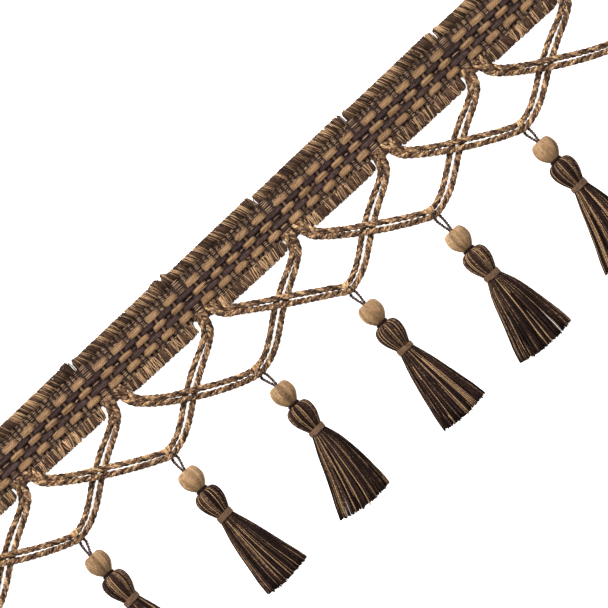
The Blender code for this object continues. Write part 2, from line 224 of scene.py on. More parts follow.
def evenly_spaced(curve: np.ndarray, count: int) -> np.ndarray:
    """Return count points, evenly spaced along a fine curve."""
    travelled = lengths_along(curve[None])[0]
    stops = np.linspace(0.0, travelled[-1], count)
    return np.column_stack([np.interp(stops, travelled, curve[:, axis]) for axis in range(3)])


class StrandMesh:
    """Strands swept into one mesh, with their lengths as a UV map and their tones."""

    def __init__(self, name: str, sides: int, chance: np.random.Generator) -> None:
        """Start an empty mesh whose strands have that many sides."""
        self.name = name
        self.sides = sides
        self.chance = chance
        self.verts: list[np.ndarray] = []
        self.loops: list[np.ndarray] = []
        self.totals: list[np.ndarray] = []
        self.maps: list[np.ndarray] = []
        self.tones: list[np.ndarray] = []
        self.count = 0

    def add(self, centres: np.ndarray, radius: np.ndarray | float, tone: np.ndarray | float,
            flatness: float = 1.0, sides: int = 0, outward: np.ndarray = UP) -> None:
        """Sweep a ring along each centre line and close both ends.

        Args:
            centres: (strands, points, 3) centre lines.
            radius: one radius, or an array that broadcasts to (strands, points).
            tone: 0 for dark to 1 for light, one for all or one for each strand.
            flatness: the ring's size upwards as a share of its size aside.
            sides: sides of these strands, where the mesh's own don't serve.
            outward: the way that a strand's up side faces where it starts; its painted side shade
                is lightest there and on the opposite side.
        """
        strands, points, _ = centres.shape
        sides = sides or self.sides
        _, up, aside = strand_frames(centres, outward)
        radii = np.broadcast_to(np.asarray(radius, float), (strands, points))[..., None, None]
        turns = np.linspace(0.0, 2 * math.pi, sides, endpoint=False)
        ring = (np.cos(turns)[:, None] * up[:, :, None] * flatness
                + np.sin(turns)[:, None] * aside[:, :, None])
        verts = centres[:, :, None] + radii * ring
        index = np.arange(strands * points * sides).reshape(strands, points, sides) + self.count
        following = np.roll(index, -1, axis=2)
        quads = np.stack([index[:, :-1], following[:, :-1], following[:, 1:], index[:, 1:]],
                         axis=-1)
        along = lengths_along(centres) / MM + self.chance.uniform(0, YARN_LENGTH, (strands, 1))
        along = np.broadcast_to(along[..., None], (strands, points, sides))
        round_by = np.broadcast_to(np.arange(sides) / sides, (strands, points, sides))
        after = round_by + 1.0 / sides
        maps = np.stack([
            np.stack([along[:, :-1], along[:, :-1], along[:, 1:], along[:, 1:]], axis=-1),
            np.stack([round_by[:, :-1], after[:, :-1], after[:, 1:], round_by[:, 1:]], axis=-1),
        ], axis=-1)
        self.verts.append(verts.reshape(-1, 3))
        self.loops.append(quads.reshape(-1))
        self.totals.append(np.full(quads.size // 4, 4))
        self.maps.append(maps.reshape(-1, 2))
        for ring_index, order in ((0, slice(None, None, -1)), (points - 1, slice(None))):
            caps = index[:, ring_index, order]
            cap_maps = np.stack([along[:, ring_index, order], round_by[:, ring_index, order]],
                                axis=-1)
            self.loops.append(caps.reshape(-1))
            self.totals.append(np.full(strands, sides))
            self.maps.append(cap_maps.reshape(-1, 2))
        tones = np.broadcast_to(np.asarray(tone, float).reshape(-1, 1), (strands, points * sides))
        self.tones.append(tones.reshape(-1))
        self.count += strands * points * sides

    def build(self, finish: bpy.types.Material) -> bpy.types.Object:
        """Make the object, smooth shaded and in its finish."""
        totals = np.concatenate(self.totals)
        loops = np.concatenate(self.loops)
        mesh = bpy.data.meshes.new(self.name)
        mesh.vertices.add(self.count)
        mesh.vertices.foreach_set("co", np.concatenate(self.verts).astype(np.float32).ravel())
        mesh.loops.add(len(loops))
        mesh.loops.foreach_set("vertex_index", loops.astype(np.int32))
        mesh.polygons.add(len(totals))
        starts = np.concatenate([[0], np.cumsum(totals)[:-1]])
        mesh.polygons.foreach_set("loop_start", starts.astype(np.int32))
        mesh.polygons.foreach_set("loop_total", totals.astype(np.int32))
        mesh.polygons.foreach_set("use_smooth", np.ones(len(totals), dtype=bool))
        layer = mesh.uv_layers.new(name=YARN_MAP)
        layer.data.foreach_set("uv", np.concatenate(self.maps).astype(np.float32).ravel())
        tone = mesh.attributes.new(TONE, "FLOAT", "POINT")
        tone.data.foreach_set("value", np.concatenate(self.tones).astype(np.float32))
        mesh.update(calc_edges=True)
        mesh.validate()
        mesh.materials.append(finish)
        piece = bpy.data.objects.new(self.name, mesh)
        bpy.context.scene.collection.objects.link(piece)
        return piece


def linear(red: int, green: int, blue: int) -> tuple[float, float, float, float]:
    """Return the linear colour of an sRGB one, given from 0 to 255."""
    values = [channel / 255 for channel in (red, green, blue)]
    return (*(v / 12.92 if v <= 0.04045 else ((v + 0.055) / 1.055) ** 2.4 for v in values), 1.0)


class NodeSheet:
    """A material's node tree, written as a list of short calls."""

    def __init__(self, name: str) -> None:
        """Start a material with an empty tree."""
        self.material = bpy.data.materials.new(name)
        self.material.use_nodes = True
        self.tree = self.material.node_tree
        self.tree.nodes.clear()

    def node(self, kind: str, inputs: dict[str | int, object] | None = None,
             **settings: object) -> bpy.types.Node:
        """Add a node; an input is a value, or a socket to link from."""
        node = self.tree.nodes.new(kind)
        for key, value in settings.items():
            setattr(node, key, value)
        for key, value in (inputs or {}).items():
            if isinstance(value, bpy.types.NodeSocket):
                self.tree.links.new(value, node.inputs[key])
            else:
                node.inputs[key].default_value = value
        return node

    def math(self, operation: str, first: object, second: object = 0.0, third: object = 0.0,
             clamp: bool = False) -> bpy.types.NodeSocket:
        """Add a Math node and return its result."""
        inputs = {0: first, 1: second, 2: third}
        return self.node("ShaderNodeMath", inputs, operation=operation, use_clamp=clamp).outputs[0]

    def ramp(self, factor: bpy.types.NodeSocket,
             stops: list[tuple[float, tuple[float, ...]]]) -> bpy.types.NodeSocket:
        """Add a Color Ramp with those stops and return its colour."""
        node = self.node("ShaderNodeValToRGB", {0: factor})
        ramp = node.color_ramp
        while len(ramp.elements) < len(stops):
            ramp.elements.new(0.5)
        for element, (place, colour) in zip(ramp.elements, stops):
            element.position = place
            element.color = colour
        return node.outputs[0]


@dataclass(frozen=True)
class YarnFinish:
    """A twisted yarn's look: its fibres, its twist, the colours it is spun from, and the shade
    painted into its grooves and onto its sides.
    """

    name: str
    dark: tuple[int, int, int]
    middle: tuple[int, int, int]
    light: tuple[int, int, int]
    plies: int = 2                  # bumps round the yarn
    pitch: float = 2.4              # mm for one turn of the twist
    fibres: float = 9.0             # fibre streaks round the yarn
    streak: float = 2.5             # mm, the usual length of a streak
    contrast: float = 1.1           # how far a streak strays from the strand's own tone
    painted_groove_shade: float = 0.55            # painted shade in the grooves of the twist, 0 to 1
    painted_side_shade: float = 0.7            # painted shade on the strand's sides, where it meets the next
    fibre_slant: float = 0.35       # how far the fibres turn with the twist, 0 to 1
    patch: float = 70.0             # slow changes of tone, per metre
    patch_depth: float = 0.5        # how far they reach, about the strand's own tone
    roughness: float = 0.85
    sheen: float = 0.06
    gloss: float = 0.12
    relief: float = 0.5
    relief_depth: float = 0.15 * MM

    def material(self) -> bpy.types.Material:
        """Return the finish as a procedural material."""
        sheet = NodeSheet(self.name)
        place = sheet.node("ShaderNodeUVMap", uv_map=YARN_MAP).outputs["UV"]
        split = sheet.node("ShaderNodeSeparateXYZ", {0: place})
        along, turn = split.outputs["X"], split.outputs["Y"]
        tone = sheet.node("ShaderNodeAttribute", attribute_name=TONE).outputs["Fac"]

        twist = sheet.math("MULTIPLY_ADD", along, self.plies / self.pitch,
                           sheet.math("MULTIPLY", turn, float(self.plies)))
        wave = sheet.math("SINE", sheet.math("MULTIPLY", twist, 2 * math.pi))
        ply = sheet.math("MULTIPLY_ADD", wave, 0.5, 0.5)

        lengthwise = sheet.math("MULTIPLY", along, 1.0 / self.streak)
        slanted = sheet.math("MULTIPLY_ADD", along, self.fibres / self.pitch * self.fibre_slant,
                             sheet.math("MULTIPLY", turn, self.fibres))
        lane = sheet.node("ShaderNodeCombineXYZ", {0: lengthwise, 1: slanted, 2: tone})
        fibre = sheet.node("ShaderNodeTexNoise", {"Vector": lane.outputs[0], "Scale": 1.0,
                                                  "Detail": 3.0, "Roughness": 0.65}).outputs["Fac"]
        uneven = sheet.math("SUBTRACT", fibre, 0.5)
        strayed = sheet.math("MULTIPLY_ADD", uneven, self.contrast, tone, clamp=True)
        spun = sheet.ramp(strayed, [(0.0, linear(*self.dark)), (0.5, linear(*self.middle)),
                                    (1.0, linear(*self.light))])

        where = sheet.node("ShaderNodeTexCoord").outputs["Object"]
        patch = sheet.node("ShaderNodeTexNoise", {"Vector": where, "Scale": self.patch,
                                                  "Detail": 2.0}).outputs["Fac"]
        weight = sheet.math("MULTIPLY_ADD", patch, self.patch_depth, 1.0 - self.patch_depth / 2)
        # Painted shade: the grooves of the twist are darkened in the colour.
        groove_shade_factor = sheet.math("MULTIPLY_ADD", ply, self.painted_groove_shade, 1.0 - self.painted_groove_shade)
        # Painted shade: the strand's sides, where it meets the next, are darkened in the colour.
        round_by = sheet.math("MULTIPLY", turn, 2 * math.pi)
        facing = sheet.math("ABSOLUTE", sheet.math("COSINE", round_by))
        side = sheet.math("MULTIPLY_ADD", facing, self.painted_side_shade / 2, 1.0 - self.painted_side_shade / 2)
        # Random patches of tone, times the painted groove shade and the painted side shade.
        tone_and_painted_shade = sheet.math("MULTIPLY", sheet.math("MULTIPLY", weight, groove_shade_factor), side)
        colour = sheet.node("ShaderNodeVectorMath", {0: spun, 3: tone_and_painted_shade}, operation="SCALE")

        height = sheet.math("MULTIPLY_ADD", ply, 0.7, sheet.math("MULTIPLY", fibre, 0.5))
        bump = sheet.node("ShaderNodeBump", {"Height": height, "Strength": self.relief,
                                             "Distance": self.relief_depth})
        shader = sheet.node("ShaderNodeBsdfPrincipled", {
            "Base Color": colour.outputs[0], "Normal": bump.outputs[0],
            "Roughness": self.roughness, "Specular IOR Level": self.gloss,
            "Sheen Weight": self.sheen, "Sheen Roughness": 0.5,
            "Sheen Tint": linear(*self.light)})
        output = sheet.node("ShaderNodeOutputMaterial")
        sheet.tree.links.new(shader.outputs[0], output.inputs[0])
        return sheet.material


@dataclass(frozen=True)
class GroundFinish:
    """The tape's plain ground: fine dark warp and weft, seen on its back and between yarns."""

    name: str = "heading_ground"
    dark: tuple[int, int, int] = (24, 16, 14)
    light: tuple[int, int, int] = (66, 49, 40)
    warp_pitch: float = 0.62 * MM
    weft_pitch: float = 0.97 * MM
    fuzz: float = 2600.0            # fine unevenness, per metre
    relief: float = 0.6
    relief_depth: float = 0.2 * MM
    roughness: float = 0.9

    def material(self) -> bpy.types.Material:
        """Return the finish as a procedural material."""
        sheet = NodeSheet(self.name)
        where = sheet.node("ShaderNodeTexCoord").outputs["Object"]
        split = sheet.node("ShaderNodeSeparateXYZ", {0: where})
        weft = sheet.math("SINE", sheet.math("MULTIPLY", split.outputs["X"],
                                             2 * math.pi / self.weft_pitch))
        warp = sheet.math("SINE", sheet.math("MULTIPLY", split.outputs["Y"],
                                             2 * math.pi / self.warp_pitch))
        over = sheet.math("MULTIPLY_ADD", sheet.math("MULTIPLY", weft, warp), 0.5, 0.5)
        fuzz = sheet.node("ShaderNodeTexNoise", {"Vector": where, "Scale": self.fuzz,
                                                 "Detail": 3.0}).outputs["Fac"]
        mixed = sheet.math("MULTIPLY", over, fuzz)
        colour = sheet.ramp(mixed, [(0.1, linear(*self.dark)), (0.6, linear(*self.light))])
        bump = sheet.node("ShaderNodeBump", {"Height": mixed, "Strength": self.relief,
                                             "Distance": self.relief_depth})
        shader = sheet.node("ShaderNodeBsdfPrincipled", {
            "Base Color": colour, "Normal": bump.outputs[0], "Roughness": self.roughness,
            "Specular IOR Level": 0.2, "Sheen Weight": 0.2})
        output = sheet.node("ShaderNodeOutputMaterial")
        sheet.tree.links.new(shader.outputs[0], output.inputs[0])
        return sheet.material


BROWN_WEFT = YarnFinish("brown_weft", (16, 10, 9), (48, 32, 28), (92, 68, 54),
                        plies=2, pitch=3.0, fibres=7, streak=1.8, painted_groove_shade=0.4)
TAN_FLOAT = YarnFinish("tan_float", (90, 61, 41), (174, 135, 97), (224, 186, 143),
                       plies=2, pitch=1.9, fibres=6, streak=3.2, contrast=1.6, painted_groove_shade=0.3,
                       painted_side_shade=1.3)
DARK_FLOAT = YarnFinish("dark_float", (30, 20, 19), (74, 55, 52), (126, 102, 92),
                        plies=2, pitch=1.5, fibres=6, streak=1.2, contrast=1.5, painted_groove_shade=0.35,
                        painted_side_shade=1.1)
BINDING = YarnFinish("binding_thread", (54, 39, 31), (116, 91, 72), (166, 137, 110),
                     plies=2, pitch=1.1, fibres=4, streak=1.2, contrast=1.3, painted_groove_shade=0.2,
                     painted_side_shade=0.8)
BRUSH_YARN = YarnFinish("brush_yarn", (30, 20, 18), (98, 72, 56), (222, 180, 134),
                        plies=2, pitch=1.4, fibres=5, streak=1.6, contrast=0.9, painted_groove_shade=0.3,
                        painted_side_shade=1.15)
CORD_PLY = YarnFinish("swag_cord_ply", (38, 25, 21), (114, 84, 62), (205, 166, 122),
                      plies=2, pitch=1.9, fibres=5, streak=1.1, contrast=3.4, painted_groove_shade=0.35,
                      painted_side_shade=0.55)
STITCH_YARN = YarnFinish("stitch_yarn", (96, 66, 44), (180, 139, 97), (224, 186, 140),
                         plies=2, pitch=1.6, fibres=6, streak=1.6, contrast=1.6, painted_groove_shade=0.3)
LOOP_THREAD = YarnFinish("loop_thread", (26, 18, 18), (66, 50, 48), (128, 106, 98),
                         plies=2, pitch=1.0, fibres=5, streak=1.0, painted_groove_shade=0.4, painted_side_shade=0.6)
BEAD_SILK = YarnFinish("bead_silk", (72, 52, 34), (150, 117, 82), (200, 163, 120),
                       plies=2, pitch=1.6, fibres=3, streak=1.2, contrast=1.6, painted_groove_shade=0.15,
                       painted_side_shade=1.3, patch=220.0, roughness=0.6, sheen=0.1, gloss=0.25,
                       relief=0.4)
NECK_WRAP = YarnFinish("neck_wrap", (52, 36, 27), (105, 79, 60), (158, 127, 99),
                       plies=2, pitch=1.4, fibres=5, streak=1.6, contrast=1.4, painted_groove_shade=0.4,
                       painted_side_shade=0.4)
TASSEL_YARN = YarnFinish("tassel_yarn", (12, 7, 7), (68, 47, 41), (206, 166, 122),
                         plies=2, pitch=1.9, fibres=5, streak=1.0, contrast=1.2, painted_groove_shade=0.6,
                         painted_side_shade=1.1, sheen=0.03, gloss=0.06)


def dress(piece: bpy.types.Object, slot: Slot, *nodes: str) -> bpy.types.Object:
    """Ride a piece on the trim, hide the CAD nodes it stands for, and report it with them."""
    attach(piece, "root")
    if nodes:
        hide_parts(*nodes)
    faces = sum(len(face.vertices) - 2 for face in piece.data.polygons)
    LOG.info("%s: %d triangles, %s", piece.name, faces, ", ".join(nodes) or "no node")
    return piece


@dataclass(frozen=True)
class Rib:
    """One rib of weft across the tape; a raised one stands in a gap between floats."""

    x: float
    half: float
    raised: bool


@dataclass(frozen=True)
class LoopRow:
    """How closely the loops of one row stand and how they are drawn."""

    pitch: float
    opening: tuple[float, float]        # least and greatest distance between a loop's legs
    points: int                         # along each loop
    slit: float = 0.0                   # mm: half the width of a slit, where the row has slits


@dataclass
class BrushedEdges:
    """The tape's two loop edges, in clumps of light and dark, over rows of thicker loops."""

    layout: TrimLayout
    chance: np.random.Generator
    upper_fine: LoopRow = LoopRow(0.32 * MM, (0.3 * MM, 1.3 * MM), 9, 0.45)
    upper_thick: LoopRow = LoopRow(0.52 * MM, (0.4 * MM, 0.6 * MM), 7, 0.75)
    lower_fine: LoopRow = LoopRow(0.34 * MM, (0.4 * MM, 1.5 * MM), 9)
    lower_thick: LoopRow = LoopRow(0.44 * MM, (0.5 * MM, 0.8 * MM), 7)
    upper_thick_yarn: float = 0.4 * MM
    lower_thick_yarn: float = 0.3 * MM
    upper_thick_tones: tuple[float, float, float] = (0.1, 0.27, 0.62)
    lower_thick_tones: tuple[float, float, float] = (0.1, 0.22, 0.46)
    upper_thick_short: float = 0.25 * MM    # how much shorter they are than the fine loops
    lower_thick_short: float = 0.1 * MM
    lower_thick_lean: float = 0.3       # as a share of the fine loops' lean
    brush_yarn: tuple[float, float] = (0.13 * MM, 0.17 * MM)  # a light yarn and a dark one
    upper_root: float = 6.95 * MM
    lower_root: float = -6.95 * MM
    under_root: float = 6.8 * MM        # of the thicker loops at the back of either edge
    upper_tip: float = 10.9             # mm
    upper_ends: tuple[float, float] = (2.2 * MM, 0.4 * MM)    # left bare at the cut ends
    upper_lean: float = -1.75           # mm, away from a slit
    upper_scatter: float = 0.28         # mm, of the lean
    bunch_places: tuple[float, float] = (-1.7, 2.2)           # mm from a slit
    bunch_half: float = 1.3             # mm
    corner_half: float = 0.7            # mm from a slit, where the loops are shorter
    corner_drop: float = 1.4            # mm
    upright_half: float = 2.7           # mm from a slit, where the loops stand upright
    block: tuple[float, float] = (6.3, 35.4)    # mm after a column, where lower loops stand
    block_ends: tuple[float, float] = (0.6 * MM, 0.4 * MM)    # left bare at the cut ends
    lower_tip: float = -11.25           # mm
    block_round: tuple[float, float] = (0.7, 1.1)   # mm: how much shorter at a block's ends, and
                                                    # how far in
    lower_lean: tuple[float, float] = (-0.2, 0.5)   # mm: the mean, and to either side by clumps
    lower_scatter: float = 0.3          # mm, of the lean
    filler_reach: float = 3.7 * MM      # before a column, where the short loops start
    filler_tip: float = -9.5            # mm
    loop_scatter: float = 0.08 * MM     # of a loop's place
    loop_roundness: float = 0.62        # the lower, the blunter a loop's tip
    root_scatter: float = 0.22 * MM
    loop_heights: tuple[float, float, float] = (0.85, 0.8, 0.7)     # mm at the root, mm that the
                                                                    # loop rises, share lost again
    leg_tilt: float = 0.2 * MM          # one leg of a loop lies higher than the other
    strand_scatter: float = 0.035 * MM
    strand_lift: tuple[float, float] = (0.1, 0.6)   # mm
    light_lift: float = 0.2 * MM        # the light yarns lie on top
    light_shares: tuple[float, ...] = (0.14, 0.26, 0.4)     # of a clump's yarns
    odds: tuple[float, ...] = (0.35, 0.35, 0.3)     # of each share, and of each thick loop's tone
    light_tones: tuple[float, float] = (0.7, 1.0)
    dark_tones: tuple[float, float] = (0.05, 0.55)
    clump_count: int = 2000             # more than there are clumps along the heading
    under_rest: tuple[float, float] = (0.25 * MM, 0.4 * MM)     # how far the thicker loops lie
                                                                # lower, and their least height
    notch_offset: float = -2.3          # mm from a repeat's mark to the slit in the upper edge
    notches: tuple[tuple[float, float, float], ...] = (     # bunch before and after, open share
        (0.3, 0.2, 1.0), (0.2, 0.3, 1.0), (0.4, 0.1, 1.0), (0.6, 0.25, 1.0), (0.7, 1.35, 0.0),
        (0.2, 0.0, 1.0), (0.1, 0.4, 1.0), (0.1, 0.5, 1.0), (0.3, 0.2, 1.0), (0.2, 0.3, 1.0))
    edge_climb: float = 0.75            # mm that the upper edge climbs from one slit to the next
    clump: float = 0.85 * MM            # the brushed yarns lie in clumps of a tone

    def loop_lines(self, row: LoopRow, places: np.ndarray, root_y: float, tips: np.ndarray,
                   lean: np.ndarray) -> np.ndarray:
        """Return the centre lines of a row's loops.

        Args:
            row: the row that they stand in.
            places: x of each loop's middle at its root.
            root_y: y where the loops leave the ground.
            tips: y of each loop's tip.
            lean: how far each tip is moved along x.

        Returns:
            (loops, points, 3) centre lines.
        """
        share = np.linspace(0.0, 1.0, row.points)
        out = np.sin(share * math.pi) ** self.loop_roundness
        side = -np.cos(share * math.pi)
        opening = self.chance.uniform(*row.opening, (len(places), 1))
        x = places[:, None] + lean[:, None] * out + opening / 2 * side * (0.7 + 0.3 * out)
        roots = root_y + self.chance.normal(0, self.root_scatter, (len(places), 1))
        y = roots + (tips[:, None] - roots) * out
        low, rise, fall = self.loop_heights
        z = (low + rise * out * (1 - fall * out ** 3)) * MM + self.leg_tilt * side
        return np.stack([x, y, z + np.zeros_like(x)], axis=-1)

    def brush(self, name: str, lines: np.ndarray, under: np.ndarray, under_yarn: float,
              under_tones: tuple[float, ...]) -> bpy.types.Object:
        """Make a brushed edge: fine light and dark loops in clumps, over thicker ones.

        Args:
            name: the piece's name.
            lines: centre lines of the fine loops.
            under: centre lines of the thicker loops.
            under_yarn: radius of the thicker loops.
            under_tones: their three tones, from dark to light.

        Returns:
            The brushed edge as one piece.
        """
        count = len(lines)
        lines = lines + self.chance.normal(0, self.strand_scatter, lines.shape)
        lines[..., 2] += self.chance.uniform(*self.strand_lift, count)[:, None] * MM
        clumps = np.floor(lines[:, 0, 0] / self.clump).astype(int) % self.clump_count
        share = self.chance.choice(self.light_shares, self.clump_count, p=self.odds)[clumps]
        is_light = self.chance.random(count) < share
        tones = np.where(is_light, self.chance.uniform(*self.light_tones, count),
                         self.chance.uniform(*self.dark_tones, count))
        lines[..., 2] += np.where(is_light, self.light_lift, 0.0)[:, None]
        light, dark = self.brush_yarn
        mesh = StrandMesh(name, 4, self.chance)
        radii = np.where(is_light, light, dark)[:, None]
        lines[..., 2] = np.maximum(lines[..., 2], dark)
        mesh.add(lines, radii, tones)
        drop, least = self.under_rest
        under[..., 2] = np.maximum(under[..., 2] - drop, least)
        tones = self.chance.choice(under_tones, len(under), p=self.odds)
        mesh.add(under, under_yarn, tones + self.chance.normal(0, 0.05, len(under)))
        return mesh.build(BRUSH_YARN.material())

    def upper_places(self, row: LoopRow) -> tuple[np.ndarray, np.ndarray, np.ndarray]:
        """Return x, tip and lean of a row of upper loops, parted by a slit at each column."""
        low, high = self.layout.cut_ends
        bare_low, bare_high = self.upper_ends
        rows = []
        for x in np.arange(low + bare_low, high - bare_high, row.pitch):
            offsets = [x / MM - self.layout.even_x(i) / MM - self.notch_offset
                       for i in range(self.layout.columns)]
            index = int(np.argmin(np.abs(offsets)))
            offset = offsets[index]
            before, after, share = self.notches[index]
            if abs(offset) < row.slit * share:
                continue
            bunch = sum(size * math.exp(-((offset - place) / self.bunch_half) ** 2)
                        for size, place in zip((before, after), self.bunch_places))
            climb = self.edge_climb * ((offset * MM / self.layout.repeat) % 1.0 - 0.5)
            corner = math.exp(-(offset / self.corner_half) ** 2)
            upright = math.exp(-(offset / self.upright_half) ** 2)
            rows.append((x + self.chance.normal(0, self.loop_scatter) * (1 - corner),
                         (self.upper_tip + bunch + climb - self.corner_drop * corner
                          + self.chance.normal(0, 0.05)) * MM,
                         (self.upper_lean * (1 - upright)
                          + self.chance.normal(0, self.upper_scatter) * (1 - corner)) * MM))
        return tuple(np.array(rows).T)

    def upper_brush(self) -> bpy.types.Object:
        """Make the upper edge, whose loops lean back along the trim."""
        places, tips, lean = self.upper_places(self.upper_fine)
        lines = self.loop_lines(self.upper_fine, places, self.upper_root, tips, lean)
        places, tips, lean = self.upper_places(self.upper_thick)
        under = self.loop_lines(self.upper_thick, places, self.under_root,
                                tips - self.upper_thick_short, lean)
        return self.brush("heading_upper_brush", lines, under, self.upper_thick_yarn,
                          self.upper_thick_tones)

    def lower_places(self, row: LoopRow, filled: bool
                     ) -> tuple[np.ndarray, np.ndarray, np.ndarray]:
        """Return x, tip and lean of a row of lower loops.

        Args:
            row: the row that they stand in.
            filled: whether short loops stand behind the cords' roots, where the blocks stop.

        Returns:
            Each loop's x at its root, its tip's y and its lean.
        """
        low, high = self.layout.cut_ends
        block_start, block_end = self.block
        bare_low, bare_high = self.block_ends
        shorter, inward = self.block_round
        mean_lean, side_lean = self.lower_lean
        rows = []
        for index in range(-1, self.layout.columns):
            start = max(self.layout.offset_x(index, block_start), low + bare_low)
            end = min(self.layout.offset_x(index, block_end), high - bare_high)
            for x in np.arange(start, end, row.pitch):
                edge = min(x - start, end - x) / MM
                side = 1 if int(x / self.clump / 1.3) % 2 else -1
                rows.append((x + self.chance.normal(0, self.loop_scatter),
                             (self.lower_tip + shorter * math.exp(-(edge / inward) ** 2)
                              + self.chance.normal(0, 0.08)) * MM,
                             (mean_lean + side_lean * side
                              + self.chance.normal(0, self.lower_scatter)) * MM))
            filler_start = self.layout.column_x(index) - self.filler_reach
            for x in np.arange(filler_start, start, row.pitch):
                if filled and low + MM < x < high - MM:
                    rows.append((x, (self.filler_tip + self.chance.normal(0, 0.1)) * MM, 0.0))
        return tuple(np.array(rows).T)

    def lower_brush(self) -> bpy.types.Object:
        """Make the lower edge, in blocks of open loops."""
        places, tips, lean = self.lower_places(self.lower_fine, False)
        lines = self.loop_lines(self.lower_fine, places, self.lower_root, tips, lean)
        places, tips, lean = self.lower_places(self.lower_thick, True)
        under = self.loop_lines(self.lower_thick, places, -self.under_root,
                                tips + self.lower_thick_short, lean * self.lower_thick_lean)
        return self.brush("heading_lower_brush", lines, under, self.lower_thick_yarn,
                          self.lower_thick_tones)


